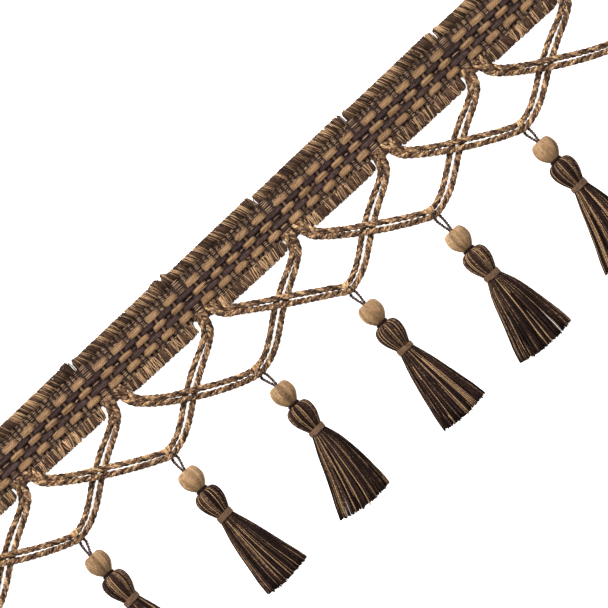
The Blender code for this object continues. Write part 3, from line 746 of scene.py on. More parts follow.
@dataclass
class Heading:
    """The woven tape: its ground, ribs of weft, rows of floats, binding and brushed edges."""

    layout: TrimLayout
    ground_edge: tuple[float, float] = (-7.4 * MM, 7.3 * MM)
    ground_height: float = 0.8 * MM
    ground_base: float = 0.32 * MM      # ribs and dipping yarns stand proud of it at the back
    ground_cells: tuple[int, int] = (380, 10)
    ground_ripple: float = 0.06 * MM
    ripple_lengths: tuple[float, float] = (0.97 * MM, 0.8 * MM)       # along x and y
    gap_offsets: tuple[float, ...] = (-0.8, 8.4, 16.0, 23.55, 31.25)      # mm after a column
    gap_halves: tuple[float, ...] = (1.45, 0.64, 0.64, 0.64, 0.64)        # half widths, mm
    floats: tuple[tuple[float, float], ...] = (
        (1.5, 7.2), (9.6, 14.9), (17.1, 22.4), (24.7, 29.9), (32.6, 37.7))
    tan_rows: tuple[tuple[float, float, int], ...] = (      # y and height in mm, yarns
        (3.45, 2.35, 4), (-0.4, 1.95, 3), (-4.4, 2.3, 4))
    dark_rows: tuple[tuple[float, float, int], ...] = ((1.55, 1.9, 4), (-2.35, 1.9, 4))
    ladder_rows: tuple[float, ...] = (2.75, 3.4, 4.05, -0.35, -3.75, -4.4, -5.05)
    float_crown: float = 2.1 * MM       # the middle of a yarn on top of a float
    float_trough: float = 0.28 * MM     # where it passes behind the ground
    float_tuck: float = 1.02            # above 1, a float dips a little inside its ends
    outer_tuck: float = 0.06            # and its outer yarns dip sooner
    tuck_wander: float = 0.08
    float_steepness: int = 8            # how sharply it dips
    middle_rise: float = 0.14 * MM      # its middle yarns stand higher than its outer ones
    end_pinch: float = 0.1              # its yarns draw together at its ends
    tan_wander: float = 0.1 * MM
    dark_crown: float = 1.95 * MM
    dark_dip: float = 1.25 * MM         # half the stretch that a dark row dips for
    dark_pinch: float = 2.0 * MM        # half the stretch that its yarns draw together for
    pinch_share: float = 0.4
    dark_wander: tuple[float, float] = (0.14 * MM, 0.1 * MM)    # aside and up
    rib_half: float = 0.56 * MM
    rib_top: float = 1.35 * MM
    raised_top: float = 1.7 * MM
    rib_half_height: float = 0.55 * MM
    rib_spread: float = 0.35            # share of a float's length from its middle rib to the next
    rib_overhang: float = 0.3 * MM      # past the ground's edges
    rib_stations: int = 16
    rib_sway: float = 0.05 * MM
    float_yarn: float = 0.25 * MM       # dark rows; the tan yarns are thicker
    tan_yarn: float = 0.31 * MM
    float_step: float = 0.55 * MM
    upper_binding: tuple[float, ...] = (4.98, 5.62, 6.26, 6.9)
    lower_binding: tuple[float, ...] = (-5.82, -6.42, -7.02)
    binding_yarn: float = 0.2 * MM
    binding_share: float = 0.88         # of a rib's width
    binding_jitter: float = 0.07 * MM
    binding_lift: float = 0.02 * MM     # over the rib
    binding_drop: float = 0.42 * MM     # at its ends, down the rib's sides
    spot_yarn: float = 0.54 * MM
    spot_height: float = 1.42           # mm, at its middle
    spot_drop: float = 0.15             # mm, at its ends
    spot_lean: float = 0.08 * MM
    chance: np.random.Generator = field(default_factory=lambda: np.random.default_rng(11))

    def float_spans(self) -> list[tuple[float, float]]:
        """Return where every tan float starts and ends along the whole heading."""
        low, high = self.layout.cut_ends
        spans = []
        for index in range(-1, self.layout.columns):
            for start, end in self.floats:
                start_x = self.layout.offset_x(index, start)
                end_x = self.layout.offset_x(index, end)
                if end_x > low + MM and start_x < high - MM:
                    spans.append((max(start_x, low), min(end_x, high)))
        return spans

    def ribs(self) -> list[Rib]:
        """Return three ribs under each float and one in each gap, the widest at the columns."""
        low, high = self.layout.cut_ends
        found = []
        for start, end in self.float_spans():
            reach = (end - start) * self.rib_spread
            found += [Rib((start + end) / 2 + step * reach, self.rib_half, False)
                      for step in (-1, 0, 1)]
        for index in range(self.layout.columns):
            for offset, half in zip(self.gap_offsets, self.gap_halves):
                x = self.layout.offset_x(index, offset)
                if low + MM < x < high - MM:
                    found.append(Rib(x, half * MM, True))
        return found

    def ground(self) -> bpy.types.Object:
        """Make the thin slab of plain weave that the yarns are worked through."""
        low, high = self.layout.cut_ends
        columns, rows = self.ground_cells
        xs = np.linspace(low, high, columns + 1)
        ys = np.linspace(*self.ground_edge, rows + 1)
        grid_x, grid_y = np.meshgrid(xs, ys, indexing="ij")
        length_x, length_y = self.ripple_lengths
        ripple = self.ground_ripple * np.sin(grid_x / length_x) * np.cos(grid_y / length_y)
        top = np.stack([grid_x, grid_y, self.ground_height + ripple], axis=-1).reshape(-1, 3)
        bottom = top.copy()
        bottom[:, 2] = self.ground_base
        index = np.arange(len(top)).reshape(columns + 1, rows + 1)
        upper = np.stack([index[:-1, :-1], index[1:, :-1], index[1:, 1:], index[:-1, 1:]],
                         axis=-1).reshape(-1, 4)
        lower = upper[:, ::-1] + len(top)
        rim = np.concatenate([index[:, 0], index[-1, 1:], index[-2::-1, -1], index[0, -2::-1]])
        walls = np.stack([rim[:-1], rim[:-1] + len(top), rim[1:] + len(top), rim[1:]], axis=-1)
        mesh = bpy.data.meshes.new("heading_ground")
        mesh.from_pydata(np.vstack([top, bottom]).tolist(), [],
                         np.vstack([upper, lower, walls]).tolist())
        mesh.validate()
        mesh.materials.append(GroundFinish().material())
        piece = bpy.data.objects.new("heading_ground", mesh)
        bpy.context.scene.collection.objects.link(piece)
        return piece

    def weft_ribs(self) -> bpy.types.Object:
        """Make the ribs of weft across the tape; those in the gaps stand a little higher."""
        mesh = StrandMesh("heading_weft_ribs", 6, self.chance)
        ys = np.linspace(self.ground_edge[0] - self.rib_overhang,
                         self.ground_edge[1] + self.rib_overhang, self.rib_stations)
        for rib in self.ribs():
            top = self.raised_top if rib.raised else self.rib_top
            sway = self.chance.normal(0.0, self.rib_sway, (2, self.rib_stations))
            height = top - self.rib_half_height
            centres = np.stack([rib.x + sway[0], ys, height + sway[1]], axis=-1)
            mesh.add(centres[None], rib.half, self.chance.uniform(0.1, 0.5),
                     flatness=self.rib_half_height / rib.half)
        return mesh.build(BROWN_WEFT.material())

    def wander(self, count: int, spread: float) -> np.ndarray:
        """Return slow random offsets along a yarn, each the mean of six stations."""
        return np.convolve(self.chance.normal(0, spread, count), np.ones(6) / 6, mode="same")

    def stations(self) -> np.ndarray:
        """Return x stations along the whole heading for the yarns that run its length."""
        low, high = self.layout.cut_ends
        return np.linspace(low, high, round((high - low) / self.float_step))

    def tan_floats(self) -> bpy.types.Object:
        """Make the tan rows: bundles of yarns that crown in each float and dip between them."""
        xs = self.stations()
        share = np.min([np.abs((xs - (start + end) / 2) / ((end - start) / 2))
                        for start, end in self.float_spans()], axis=0)
        mesh = StrandMesh("heading_tan_floats", 5, self.chance)
        for row_y, row_height, yarns in self.tan_rows:
            pitch = (row_height * MM - 2 * self.tan_yarn) / (yarns - 1)
            for yarn in range(yarns):
                place = yarn - (yarns - 1) / 2
                edge = (2 * place / (yarns - 1)) ** 2
                reach = (self.float_tuck + self.outer_tuck * edge
                         + self.wander(len(xs), self.tuck_wander))
                crown = np.clip(1.0 - (reach * share) ** self.float_steepness, 0.0, 1.0)
                rise = self.float_crown - self.float_trough + self.middle_rise * (1 - edge)
                pinch = 1.0 - self.end_pinch * np.minimum(share, 1.1) ** 5
                y = row_y * MM + place * pitch * pinch + self.wander(len(xs), self.tan_wander)
                z = self.float_trough + rise * crown + self.wander(len(xs), self.tan_wander)
                centres = np.stack([xs, y, np.maximum(z, self.tan_yarn)], axis=-1)
                mesh.add(centres[None], self.tan_yarn, self.chance.uniform(0.4, 0.62))
        return mesh.build(TAN_FLOAT.material())

    def dark_floats(self) -> bpy.types.Object:
        """Make the two dark rows, which crown over the gaps and dip under each float's middle."""
        xs = self.stations()
        dip = np.zeros_like(xs)
        pinch = np.zeros_like(xs)
        for start, end in self.float_spans():
            away = xs - (start + end) / 2
            dip = np.maximum(dip, np.exp(-(away / self.dark_dip) ** 4))
            pinch = np.maximum(pinch, np.exp(-(away / self.dark_pinch) ** 2))
        aside, upward = self.dark_wander
        mesh = StrandMesh("heading_dark_floats", 5, self.chance)
        for row_y, row_height, yarns in self.dark_rows:
            pitch = (row_height * MM - 2 * self.float_yarn) / (yarns - 1)
            for yarn in range(yarns):
                place = yarn - (yarns - 1) / 2
                y = (row_y * MM + place * pitch * (1 - self.pinch_share * pinch)
                     + self.wander(len(xs), aside))
                z = (self.float_trough + (self.dark_crown - self.float_trough) * (1 - dip)
                     + self.wander(len(xs), upward))
                centres = np.stack([xs, y, np.maximum(z, self.float_yarn)], axis=-1)
                mesh.add(centres[None], self.float_yarn, self.chance.uniform(0.2, 0.7))
        return mesh.build(DARK_FLOAT.material())

    def binding(self) -> bpy.types.Object:
        """Make the fine threads that bind each rib: a ladder in the ground and in the gaps."""
        mesh = StrandMesh("heading_binding", 4, self.chance)
        across = np.linspace(-1.0, 1.0, 5)
        ground_rows = self.upper_binding + self.lower_binding
        rungs = []
        for rib in self.ribs():
            top = self.raised_top if rib.raised else self.rib_top
            for row_y in ground_rows + (self.ladder_rows if rib.raised else ()):
                tilt, shift = self.chance.normal(0, self.binding_jitter, 2)
                rungs.append(np.stack([
                    rib.x + across * rib.half * self.binding_share,
                    row_y * MM + shift + tilt * across,
                    top + self.binding_lift - self.binding_drop * across ** 4], axis=-1))
        tones = np.clip(self.chance.normal(0.6, 0.25, len(rungs)), 0.0, 1.0)
        mesh.add(np.array(rungs), self.binding_yarn, tones)
        return mesh.build(BINDING.material())

    def weft_spots(self) -> bpy.types.Object:
        """Make the lighter spots of weft that show between the dark floats."""
        mesh = StrandMesh("heading_weft_spots", 6, self.chance)
        share = np.linspace(-1.0, 1.0, 7)
        spots = []
        for start, end in self.float_spans():
            for row_y, row_height, _ in self.dark_rows:
                lean = self.chance.normal(0, self.spot_lean)
                spots.append(np.stack([
                    (start + end) / 2 + lean * share,
                    (row_y + share * row_height / 2) * MM,
                    (self.spot_height - self.spot_drop * share ** 2) * MM], axis=-1))
        tones = self.chance.uniform(0.15, 0.55, len(spots))
        mesh.add(np.array(spots), self.spot_yarn, tones, flatness=0.7)
        return mesh.build(BINDING.material())

    def build(self) -> None:
        low, high = self.layout.cut_ends
        edges = BrushedEdges(self.layout, self.chance)
        ground = dress(self.ground(), Slot.HEADING, "heading")
        worked = [dress(piece, Slot.HEADING) for piece in (
            self.weft_ribs(), self.tan_floats(), self.dark_floats(), self.binding(),
            self.weft_spots(), edges.upper_brush(), edges.lower_brush())]


@dataclass
class Swags:
    """The pairs of twisted cord that drop from the heading and cross each other."""

    layout: TrimLayout
    shoulder_y: float = -9.8 * MM
    left_shoulder: float = 3.2 * MM
    right_shoulder: float = -1.9 * MM
    arm_points: int = 10
    curve_steps: int = 12
    cord_radius: float = 1.0 * MM
    root_length: float = 1.8 * MM       # under the heading's edge
    ply_radius: float = 0.57 * MM
    ply_offset: float = 0.58 * MM
    pitch: float = 6.4 * MM
    points: int = 220
    ply_tones: tuple[float, ...] = (0.17, 0.44, 0.67)
    tone_scatter: float = 0.05
    root_swell: float = 0.22            # the plies open where they leave the heading
    swell_reach: float = 9.0 * MM
    swell_scatter: float = 0.03
    stitch_middle: float = 1.0 * MM     # from the foot's middle towards the inner cord
    stitch_reach: float = 1.25 * MM
    stitch_turn: tuple[float, float] = (-0.45 * math.pi, 1.45 * math.pi)
    stitch_points: int = 30
    stitch_yarns: int = 5
    stitch_half: float = 0.9            # mm along the cord, to the outer yarns
    stitch_slant: tuple[float, float] = (0.3 * MM, 0.15 * MM)       # the mean and the scatter
    stitch_rise: float = 1.22           # mm, of the middle yarn over the foot
    stitch_fall: float = 0.1            # mm, of the outer yarns below it
    stitch_radius: float = 0.25 * MM
    stitch_rest: float = 0.3 * MM       # the least height of a yarn's middle
    left_arm: tuple[tuple[float, ...], ...] = (
        (0.0, -0.084, 1.0, 1.05),
        (0.0, 0.0, 1.05, 1.0),
        (0.05, 0.135, 1.3, 0.98),
        (0.14, 0.265, 2.1, 0.98),
        (0.25, 0.395, 3.05, 1.05),
        (0.365, 0.51, 3.4, 1.15),
        (0.475, 0.615, 3.4, 1.25),
        (0.59, 0.72, 3.4, 1.25),
        (0.75, 0.85, 2.9, 1.15),
        (0.89, 0.95, 2.2, 1.1),
        (1.0, 1.0, 2.0, 1.15),
    )
    right_arm: tuple[tuple[float, ...], ...] = (
        (0.15, 0.057, 1.7, 1.25),
        (0.26, 0.155, 1.2, 1.4),
        (0.363, 0.273, 1.0, 1.45),
        (0.46, 0.39, 1.0, 1.45),
        (0.565, 0.5, 1.0, 1.45),
        (0.68, 0.61, 1.0, 1.38),
        (0.8, 0.71, 1.0, 1.2),
        (0.915, 0.82, 1.0, 1.1),
        (0.985, 0.94, 1.0, 1.0),
        (1.0, 1.0, 1.0, 1.0),
        (1.0, 1.084, 1.0, 1.05),
    )
    chance: np.random.Generator = field(default_factory=lambda: np.random.default_rng(23))

    def pair_route(self, swag: int) -> np.ndarray:
        """Return a pair's middle line as (x, y, z, half spacing) rows."""
        slack = self.layout.hangs[swag].slack
        foot = self.layout.foot(swag)
        start_x = self.layout.column_x(swag) + self.left_shoulder
        end_x = self.layout.column_x(swag + 2) + self.right_shoulder
        rows = []
        for along, down, height, spread in self.left_arm:
            bowed = along + slack * (down - along) if along > 0.0 else down
            rows.append((start_x + along * (foot.x - start_x),
                         self.shoulder_y + bowed * (foot.y - self.shoulder_y),
                         height * MM, spread * MM))
        for along, rise, height, spread in self.right_arm:
            rows.append((foot.x + along * (end_x - foot.x),
                         foot.y + rise * (self.shoulder_y - foot.y), height * MM, spread * MM))
        return np.array(rows)

    def cord_line(self, swag: int, side: int) -> np.ndarray:
        """Return one cord's route; side is 1 for the inner cord and -1 for the outer one."""
        rows = self.pair_route(swag)
        ahead = unit(np.gradient(rows[:, :2], axis=0))
        rows[:, 0] -= side * ahead[:, 1] * rows[:, 3]
        rows[:, 1] += side * ahead[:, 0] * rows[:, 3]
        curve = smooth_curve(rows[:, :3], self.curve_steps)
        curve[:, 2] = np.maximum(curve[:, 2], self.cord_radius)
        foot = (len(self.left_arm) - 1) * self.curve_steps
        return np.vstack([evenly_spaced(curve[:foot + 1], self.arm_points),
                          evenly_spaced(curve[foot:], self.arm_points)[1:]])

    def rooted_line(self, swag: int, side: int) -> np.ndarray:
        """Return a cord's line with its two roots run on under the heading's edge."""
        line = self.cord_line(swag, side)
        root = np.array((0.0, self.root_length, 0.0))
        return np.vstack([line[:1] + root, line, line[-1:] + root])

    def cord(self, swag: int, side: int, finish: bpy.types.Material) -> None:
        """Make one cord of three twisted plies and log its length."""
        label = "inner" if side > 0 else "outer"
        line = evenly_spaced(smooth_curve(self.rooted_line(swag, side), self.curve_steps),
                             self.points)
        plies = twisted_plies(line[None], len(self.ply_tones), self.ply_offset, side * self.pitch,
                              self.chance.uniform(0, 2 * math.pi))
        cord = StrandMesh(f"swag_cord_{swag + 1}_{label}", 6, self.chance)
        gone = lengths_along(line[None])[0]
        length = gone[-1]
        from_root = np.minimum(gone, length - gone) / self.swell_reach
        swell = (1.0 + self.root_swell * np.exp(-from_root ** 2)
                 + self.chance.normal(0, self.swell_scatter, plies.shape[:2]))
        plies[..., 2] = np.maximum(plies[..., 2], self.ply_radius * swell)
        tones = np.array(self.ply_tones) + self.chance.normal(0, self.tone_scatter, len(plies))
        cord.add(plies, self.ply_radius * swell, tones)
        piece = dress(cord.build(finish), Slot.CORD, f"swag_{swag + 1}_{label}")
        LOG.info("%s is %.1f mm long", piece.name, length / MM)

    def foot_stitch(self, swag: int, finish: bpy.types.Material) -> None:
        """Make the tan stitch that holds the thread loop to the pair's inner cord."""
        foot = self.layout.foot(swag)
        turn = np.linspace(*self.stitch_turn, self.stitch_points)
        mean, scatter = self.stitch_slant
        strands = []
        for place in np.linspace(-self.stitch_half, self.stitch_half, self.stitch_yarns):
            slant = mean + scatter * self.chance.normal()
            rise = (self.stitch_rise - self.stitch_fall * place ** 2) * MM
            strands.append(np.stack([
                foot.x + place * MM + slant * np.cos(turn),
                foot.y + self.stitch_middle + self.stitch_reach * np.cos(turn),
                foot.z + rise * np.sin(turn)], axis=-1))
        strands = np.array(strands)
        strands[..., 2] = np.maximum(strands[..., 2], self.stitch_rest)
        stitch = StrandMesh(f"foot_stitch_{swag + 1}", 5, self.chance)
        stitch.add(strands, self.stitch_radius, self.chance.uniform(0.4, 0.9, len(strands)))
        dress(stitch.build(finish), Slot.CORD)

    def build(self) -> None:
        """Make both cords of every pair and the stitch at its foot."""
        finish = CORD_PLY.material()
        stitching = STITCH_YARN.material()
        for swag in range(len(self.layout.hangs)):
            self.cord(swag, 1, finish)
            self.cord(swag, -1, finish)
            self.foot_stitch(swag, stitching)


def turned_strands(outline: tuple[tuple[float, float], ...], count: int, steps: int,
                   top: tuple[float, float, float], twist: float = 0.0
                   ) -> tuple[np.ndarray, np.ndarray]:
    """Lay strands down a turned outline.

    Args:
        outline: (depth, radius) rows in mm.
        count: strands round the axis.
        steps: points along each strand.
        top: the outline's place at depth 0.
        twist: turn in radians from top to bottom.

    Returns:
        The centre lines, and the outline's radius at each of their points.
    """
    rows = np.array([(radius * MM, 0.0, depth * MM) for depth, radius in outline])
    line = evenly_spaced(smooth_curve(rows, 8), steps)
    radius, depth = line[:, 0], line[:, 2]
    start = np.arange(count) * 2 * math.pi / count
    angle = start[:, None] + twist * np.linspace(0, 1, steps)
    centres = np.stack([top[0] + radius * np.cos(angle),
                        np.broadcast_to(top[1] - depth, angle.shape),
                        top[2] + radius * np.sin(angle)], axis=-1)
    return centres, radius


def add_core(mesh: StrandMesh, outline: tuple[tuple[float, float], ...],
             top: tuple[float, float, float], tone: float) -> None:
    """Add the turned form that the strands lie on, from its widest top to its foot."""
    rows = np.array(outline)
    rows = rows[np.argmin(rows[:, 0]):np.argmax(rows[:, 0]) + 1]
    depth = np.linspace(rows[0, 0], rows[-1, 0], 20)
    radius = np.interp(depth, rows[:, 0], rows[:, 1]) * MM
    level = np.zeros(len(depth))
    centres = np.stack([top[0] + level, top[1] - depth * MM, top[2] + level], axis=-1)
    mesh.add(centres[None], radius[None], tone, sides=28)


@dataclass
class ThreadLoop:
    """The twisted thread that carries a bead and its tassel."""

    layout: TrimLayout
    chance: np.random.Generator
    inner_cord: float = 1.15 * MM       # from the foot's middle
    cord_clearance: float = 1.65 * MM   # from a cord's middle to the leg that passes it
    turn_reach: float = 0.75 * MM       # the loop draws into the inner cord as it turns
    turn_rise: float = 0.95 * MM
    leg_offset: float = 1.0 * MM
    leg_bow: float = 0.12 * MM
    bore_offset: float = 0.3 * MM       # of either leg, from the bead's axis
    mouth_offset: float = 0.38 * MM     # of either leg, where it comes out of the bead
    mouth_lift: float = 1.1 * MM
    loop_points: int = 110
    loop_ply: float = 0.31 * MM
    loop_ply_offset: float = 0.26 * MM
    loop_pitch: float = 2.3 * MM
    loop_rest: float = 0.57 * MM        # the least height of its middle
    finish: bpy.types.Material = field(default_factory=LOOP_THREAD.material)

    def thread_line(self, swag: int) -> np.ndarray:
        """Return the loop's route: up from the bead, round the pair's foot and back."""
        foot = self.layout.foot(swag)
        axis_x = self.layout.tassel_x(swag)
        top = self.layout.bead_y(swag)
        bottom = top - self.layout.bead_height
        inner_y = foot.y + self.inner_cord
        near_y = foot.y - self.inner_cord - self.cord_clearance

        def leg(side: int, height: float) -> list[np.ndarray]:
            """Return the points of one leg, from the bead's foot to the cords."""
            below = np.array((foot.x + side * self.leg_offset, near_y, height))
            mouth = np.array((axis_x + side * self.mouth_offset, top + self.mouth_lift,
                              self.layout.bead_axis))
            middle = (below + mouth) / 2 + np.array((side * self.leg_bow, 0.0, 0.0))
            bore_x = axis_x + side * self.bore_offset
            foot_end = np.array((bore_x, bottom, self.layout.bead_axis))
            top_end = np.array((bore_x, top - 0.6 * MM, self.layout.bead_axis))
            return [foot_end, top_end, mouth, middle, below]

        quarter = math.pi / 4
        over = [(foot.x + 0.15 * MM * turn,
                 inner_y + self.turn_reach * math.cos(turn * quarter),
                 foot.z + self.turn_rise * math.sin(turn * quarter)) for turn in range(-2, 3)]
        outer_y = foot.y - self.inner_cord
        under = (foot.x - 0.4 * MM, outer_y, foot.z - 1.3 * MM)
        crossing = (foot.x + 0.4 * MM, outer_y, foot.z + 0.4 * MM)
        return np.array(leg(-1, 0.9 * MM) + [under] + over + [crossing]
                        + leg(1, foot.z - 0.6 * MM)[::-1])

    def build(self, swag: int) -> None:
        """Make one twisted thread loop."""
        line = evenly_spaced(smooth_curve(self.thread_line(swag), 10), self.loop_points)
        line[:, 2] = np.maximum(line[:, 2], self.loop_rest)
        plies = twisted_plies(line[None], 2, self.loop_ply_offset, self.loop_pitch)
        thread = StrandMesh(f"thread_loop_{swag + 1}", 6, self.chance)
        thread.add(plies, self.loop_ply, np.array((0.3, 0.6)))
        dress(thread.build(self.finish), Slot.LOOP, f"thread_{swag + 1}")


@dataclass
class WoundBead:
    """The bead, covered with threads laid side by side."""

    layout: TrimLayout
    chance: np.random.Generator
    bead_outline: tuple[tuple[float, float], ...] = (       # depth and radius, mm
        (-0.1, 0.8), (-0.4, 1.4), (-0.5, 2.1), (-0.35, 2.65), (0.05, 3.2), (0.9, 3.68),
        (2.3, 3.95), (3.6, 3.95), (4.6, 3.7), (5.7, 3.15), (6.6, 2.55), (7.3, 2.0), (7.7, 1.6))
    bead_threads: int = 46
    bead_thread: float = 0.34 * MM      # a thread's radius, at most
    bead_overlap: float = 1.08          # the threads press into each other
    bead_twist: float = 0.05
    finish: bpy.types.Material = field(default_factory=BEAD_SILK.material)

    def build(self, swag: int) -> None:
        """Wind one bead with threads laid side by side from hole to hole."""
        top = (self.layout.tassel_x(swag), self.layout.bead_y(swag), self.layout.bead_axis)
        centres, radius = turned_strands(self.bead_outline, self.bead_threads, 16, top,
                                         twist=self.chance.normal(0, self.bead_twist))
        bead = StrandMesh(f"wound_bead_{swag + 1}", 5, self.chance)
        room = radius * math.pi / self.bead_threads
        thickness = np.minimum(room * self.bead_overlap, self.bead_thread)
        centres[..., 2] = np.maximum(centres[..., 2], thickness)
        tones = np.repeat(self.chance.normal(0.5, 0.13, self.bead_threads // 2), 2)
        tones = np.clip(tones + self.chance.normal(0, 0.08, self.bead_threads), 0.1, 1)
        bead.add(centres, thickness, tones, outward=np.array((0.0, 1.0, 0.0)))
        add_core(bead, self.bead_outline, top, 0.4)
        dress(bead.build(self.finish), Slot.BEAD, f"bead_{swag + 1}")


@dataclass
class NeckWrap:
    """The band of thread round a tassel's neck."""

    layout: TrimLayout
    chance: np.random.Generator
    wrap_depths: tuple[float, float] = (10.4, 12.55)    # mm
    wrap_margin: float = 0.2            # mm, from either depth to the first winding's middle
    wrap_radius: float = 3.2 * MM
    wrap_inset: float = 0.3 * MM
    wrap_pitch: float = 0.47 * MM
    wrap_yarn: float = 0.29 * MM
    wrap_steps: int = 22                # stations in a turn
    wrap_tilt: float = 0.06
    finish: bpy.types.Material = field(default_factory=NECK_WRAP.material)

    def build(self, swag: int) -> None:
        """Wind one neck with thread."""
        upper, lower = self.wrap_depths
        turns = (lower - upper) * MM / self.wrap_pitch
        share = np.linspace(0, 1, round(turns * self.wrap_steps))
        angle = share * turns * 2 * math.pi + self.chance.uniform(0, 6)
        radius = self.wrap_radius - self.wrap_inset + self.chance.normal(0, 0.02 * MM, len(share))
        tilt = self.chance.normal(0, self.wrap_tilt)
        depth = upper + self.wrap_margin + share * (lower - upper - 2 * self.wrap_margin)
        across = radius * np.cos(angle)
        centres = np.stack([self.layout.tassel_x(swag) + across,
                            self.layout.head_y(swag) - depth * MM + tilt * across,
                            self.layout.head_axis + radius * np.sin(angle)], axis=-1)
        wrap = StrandMesh(f"wound_neck_{swag + 1}", 6, self.chance)
        wrap.add(centres[None], self.wrap_yarn, 0.5,
                 outward=np.array((math.cos(angle[0]), 0.0, math.sin(angle[0]))))
        dress(wrap.build(self.finish), Slot.WRAP, f"wrap_{swag + 1}")


@dataclass
class Skirt:
    """The yarns that hang from a tassel's neck."""

    layout: TrimLayout
    chance: np.random.Generator
    skirt_profile: tuple[tuple[float, float, float], ...] = (   # depth, half width and height, mm
        (12.6, 2.6, 2.6), (16.3, 3.8, 3.35), (19.7, 4.75, 3.8), (23.0, 5.5, 4.05),
        (27.5, 6.45, 4.12), (32.0, 7.4, 4.08), (36.5, 8.4, 4.0), (41.0, 9.05, 3.95))
    usual_half_width: float = 9.2       # mm, of a skirt with that profile
    skirt_steps: int = 12
    skirt_rings: tuple[tuple[float, int], ...] = ((1.0, 124), (0.86, 76), (0.5, 34))
    rim: tuple[float, float] = (9.2, 4.6)       # mm: the oval that the yarns are spread round
    rim_scatter: float = 0.7            # of a yarn's place, in shares of the room that it has
    root_depth: float = 12.3            # mm
    root_pinch: float = 0.2
    hem_depth: float = 41.1             # mm
    hem_scatter: float = 0.2            # mm
    hem_rise: float = 0.0102            # a yarn that flares x mm ends this times x squared higher
    drift: float = 0.035                # in radians, of a yarn at the hem
    wave: float = 0.13                  # mm
    skirt_yarn: tuple[float, float] = (0.17, 0.3)       # mm: a tan yarn and a dark one
    tan_share: float = 0.28
    dark_tones: tuple[float, ...] = (0.08, 0.25, 0.5)
    dark_odds: tuple[float, ...] = (0.55, 0.3, 0.15)

    def spread_round(self, count: int) -> np.ndarray:
        """Return the angles of a ring's yarns round an oval, each a little off its place."""
        half_width, half_height = self.rim
        base = np.linspace(0, 2 * math.pi, 721)
        rim = np.cumsum(np.hypot(np.sin(base) * half_width, np.cos(base) * half_height))
        places = (np.arange(count) + self.rim_scatter * self.chance.random(count)) / count
        return np.interp(places * rim[-1], rim, base)

    def waves(self, count: int, span: np.ndarray) -> np.ndarray:
        """Return how far, in mm, each yarn of a ring strays aside on its way down."""
        size = self.chance.normal(0, self.wave, (count, 1))
        pace = self.chance.uniform(3, 9, (count, 1))
        phase = self.chance.uniform(0, 6, (count, 1))
        return size * np.sin(span * pace + phase) * span

    def skirt_colours(self, count: int) -> tuple[np.ndarray, np.ndarray]:
        """Return which of a ring's yarns are tan, and each yarn's tone."""
        tan = self.chance.random(count) < self.tan_share
        tan_tones = self.chance.uniform(0.65, 1.0, count)
        dark_tones = self.chance.choice(self.dark_tones, count, p=self.dark_odds)
        return tan, np.where(tan, tan_tones, dark_tones + self.chance.normal(0, 0.05, count))

    def hang(self, swag: int, tassel: StrandMesh) -> None:
        """Hang the skirt's yarns from the neck to the uneven hem."""
        hang = self.layout.hangs[swag]
        axis_x, top = self.layout.tassel_x(swag), self.layout.head_y(swag)
        depth_rows, width_rows, height_rows = np.array(self.skirt_profile).T
        width_rows = width_rows * hang.half_width / self.usual_half_width
        width_rows[0] = self.skirt_profile[0][1]
        span = np.linspace(0, 1, self.skirt_steps)
        depth = self.root_depth + (self.hem_depth - self.root_depth) * span
        half_width = np.interp(depth, depth_rows, width_rows)
        half_height = np.interp(depth, depth_rows, height_rows)
        middle_z = np.maximum(half_height, self.layout.head_axis / MM * (1 - span) ** 2)
        lean = hang.lean * span ** 1.6
        for ring, count in self.skirt_rings:
            reach = self.chance.normal(0, self.hem_scatter, count)
            start = self.spread_round(count)
            angle = start[:, None] + self.chance.normal(0, self.drift, count)[:, None] * span
            waves = self.waves(count, span)
            tan, tones = self.skirt_colours(count)
            radii = np.where(tan, *self.skirt_yarn)[:, None] * MM
            x = axis_x + (lean + half_width * ring * np.cos(angle) + waves) * MM
            z = (middle_z + half_height * ring * np.sin(angle) + 0.5 * waves) * MM
            flare = x[:, -1:] / MM - axis_x / MM
            ends = self.hem_depth - self.hem_rise * flare ** 2 + reach[:, None]
            depths = self.root_depth + (ends - self.root_depth) * span
            centres = np.stack([x, top - depths * MM, np.maximum(z, radii)], axis=-1)
            outward = np.stack([np.cos(start), np.zeros(count), np.sin(start)], axis=-1)
            tassel.add(centres, radii * (1 - self.root_pinch * (1 - span) ** 3), tones,
                       outward=outward)


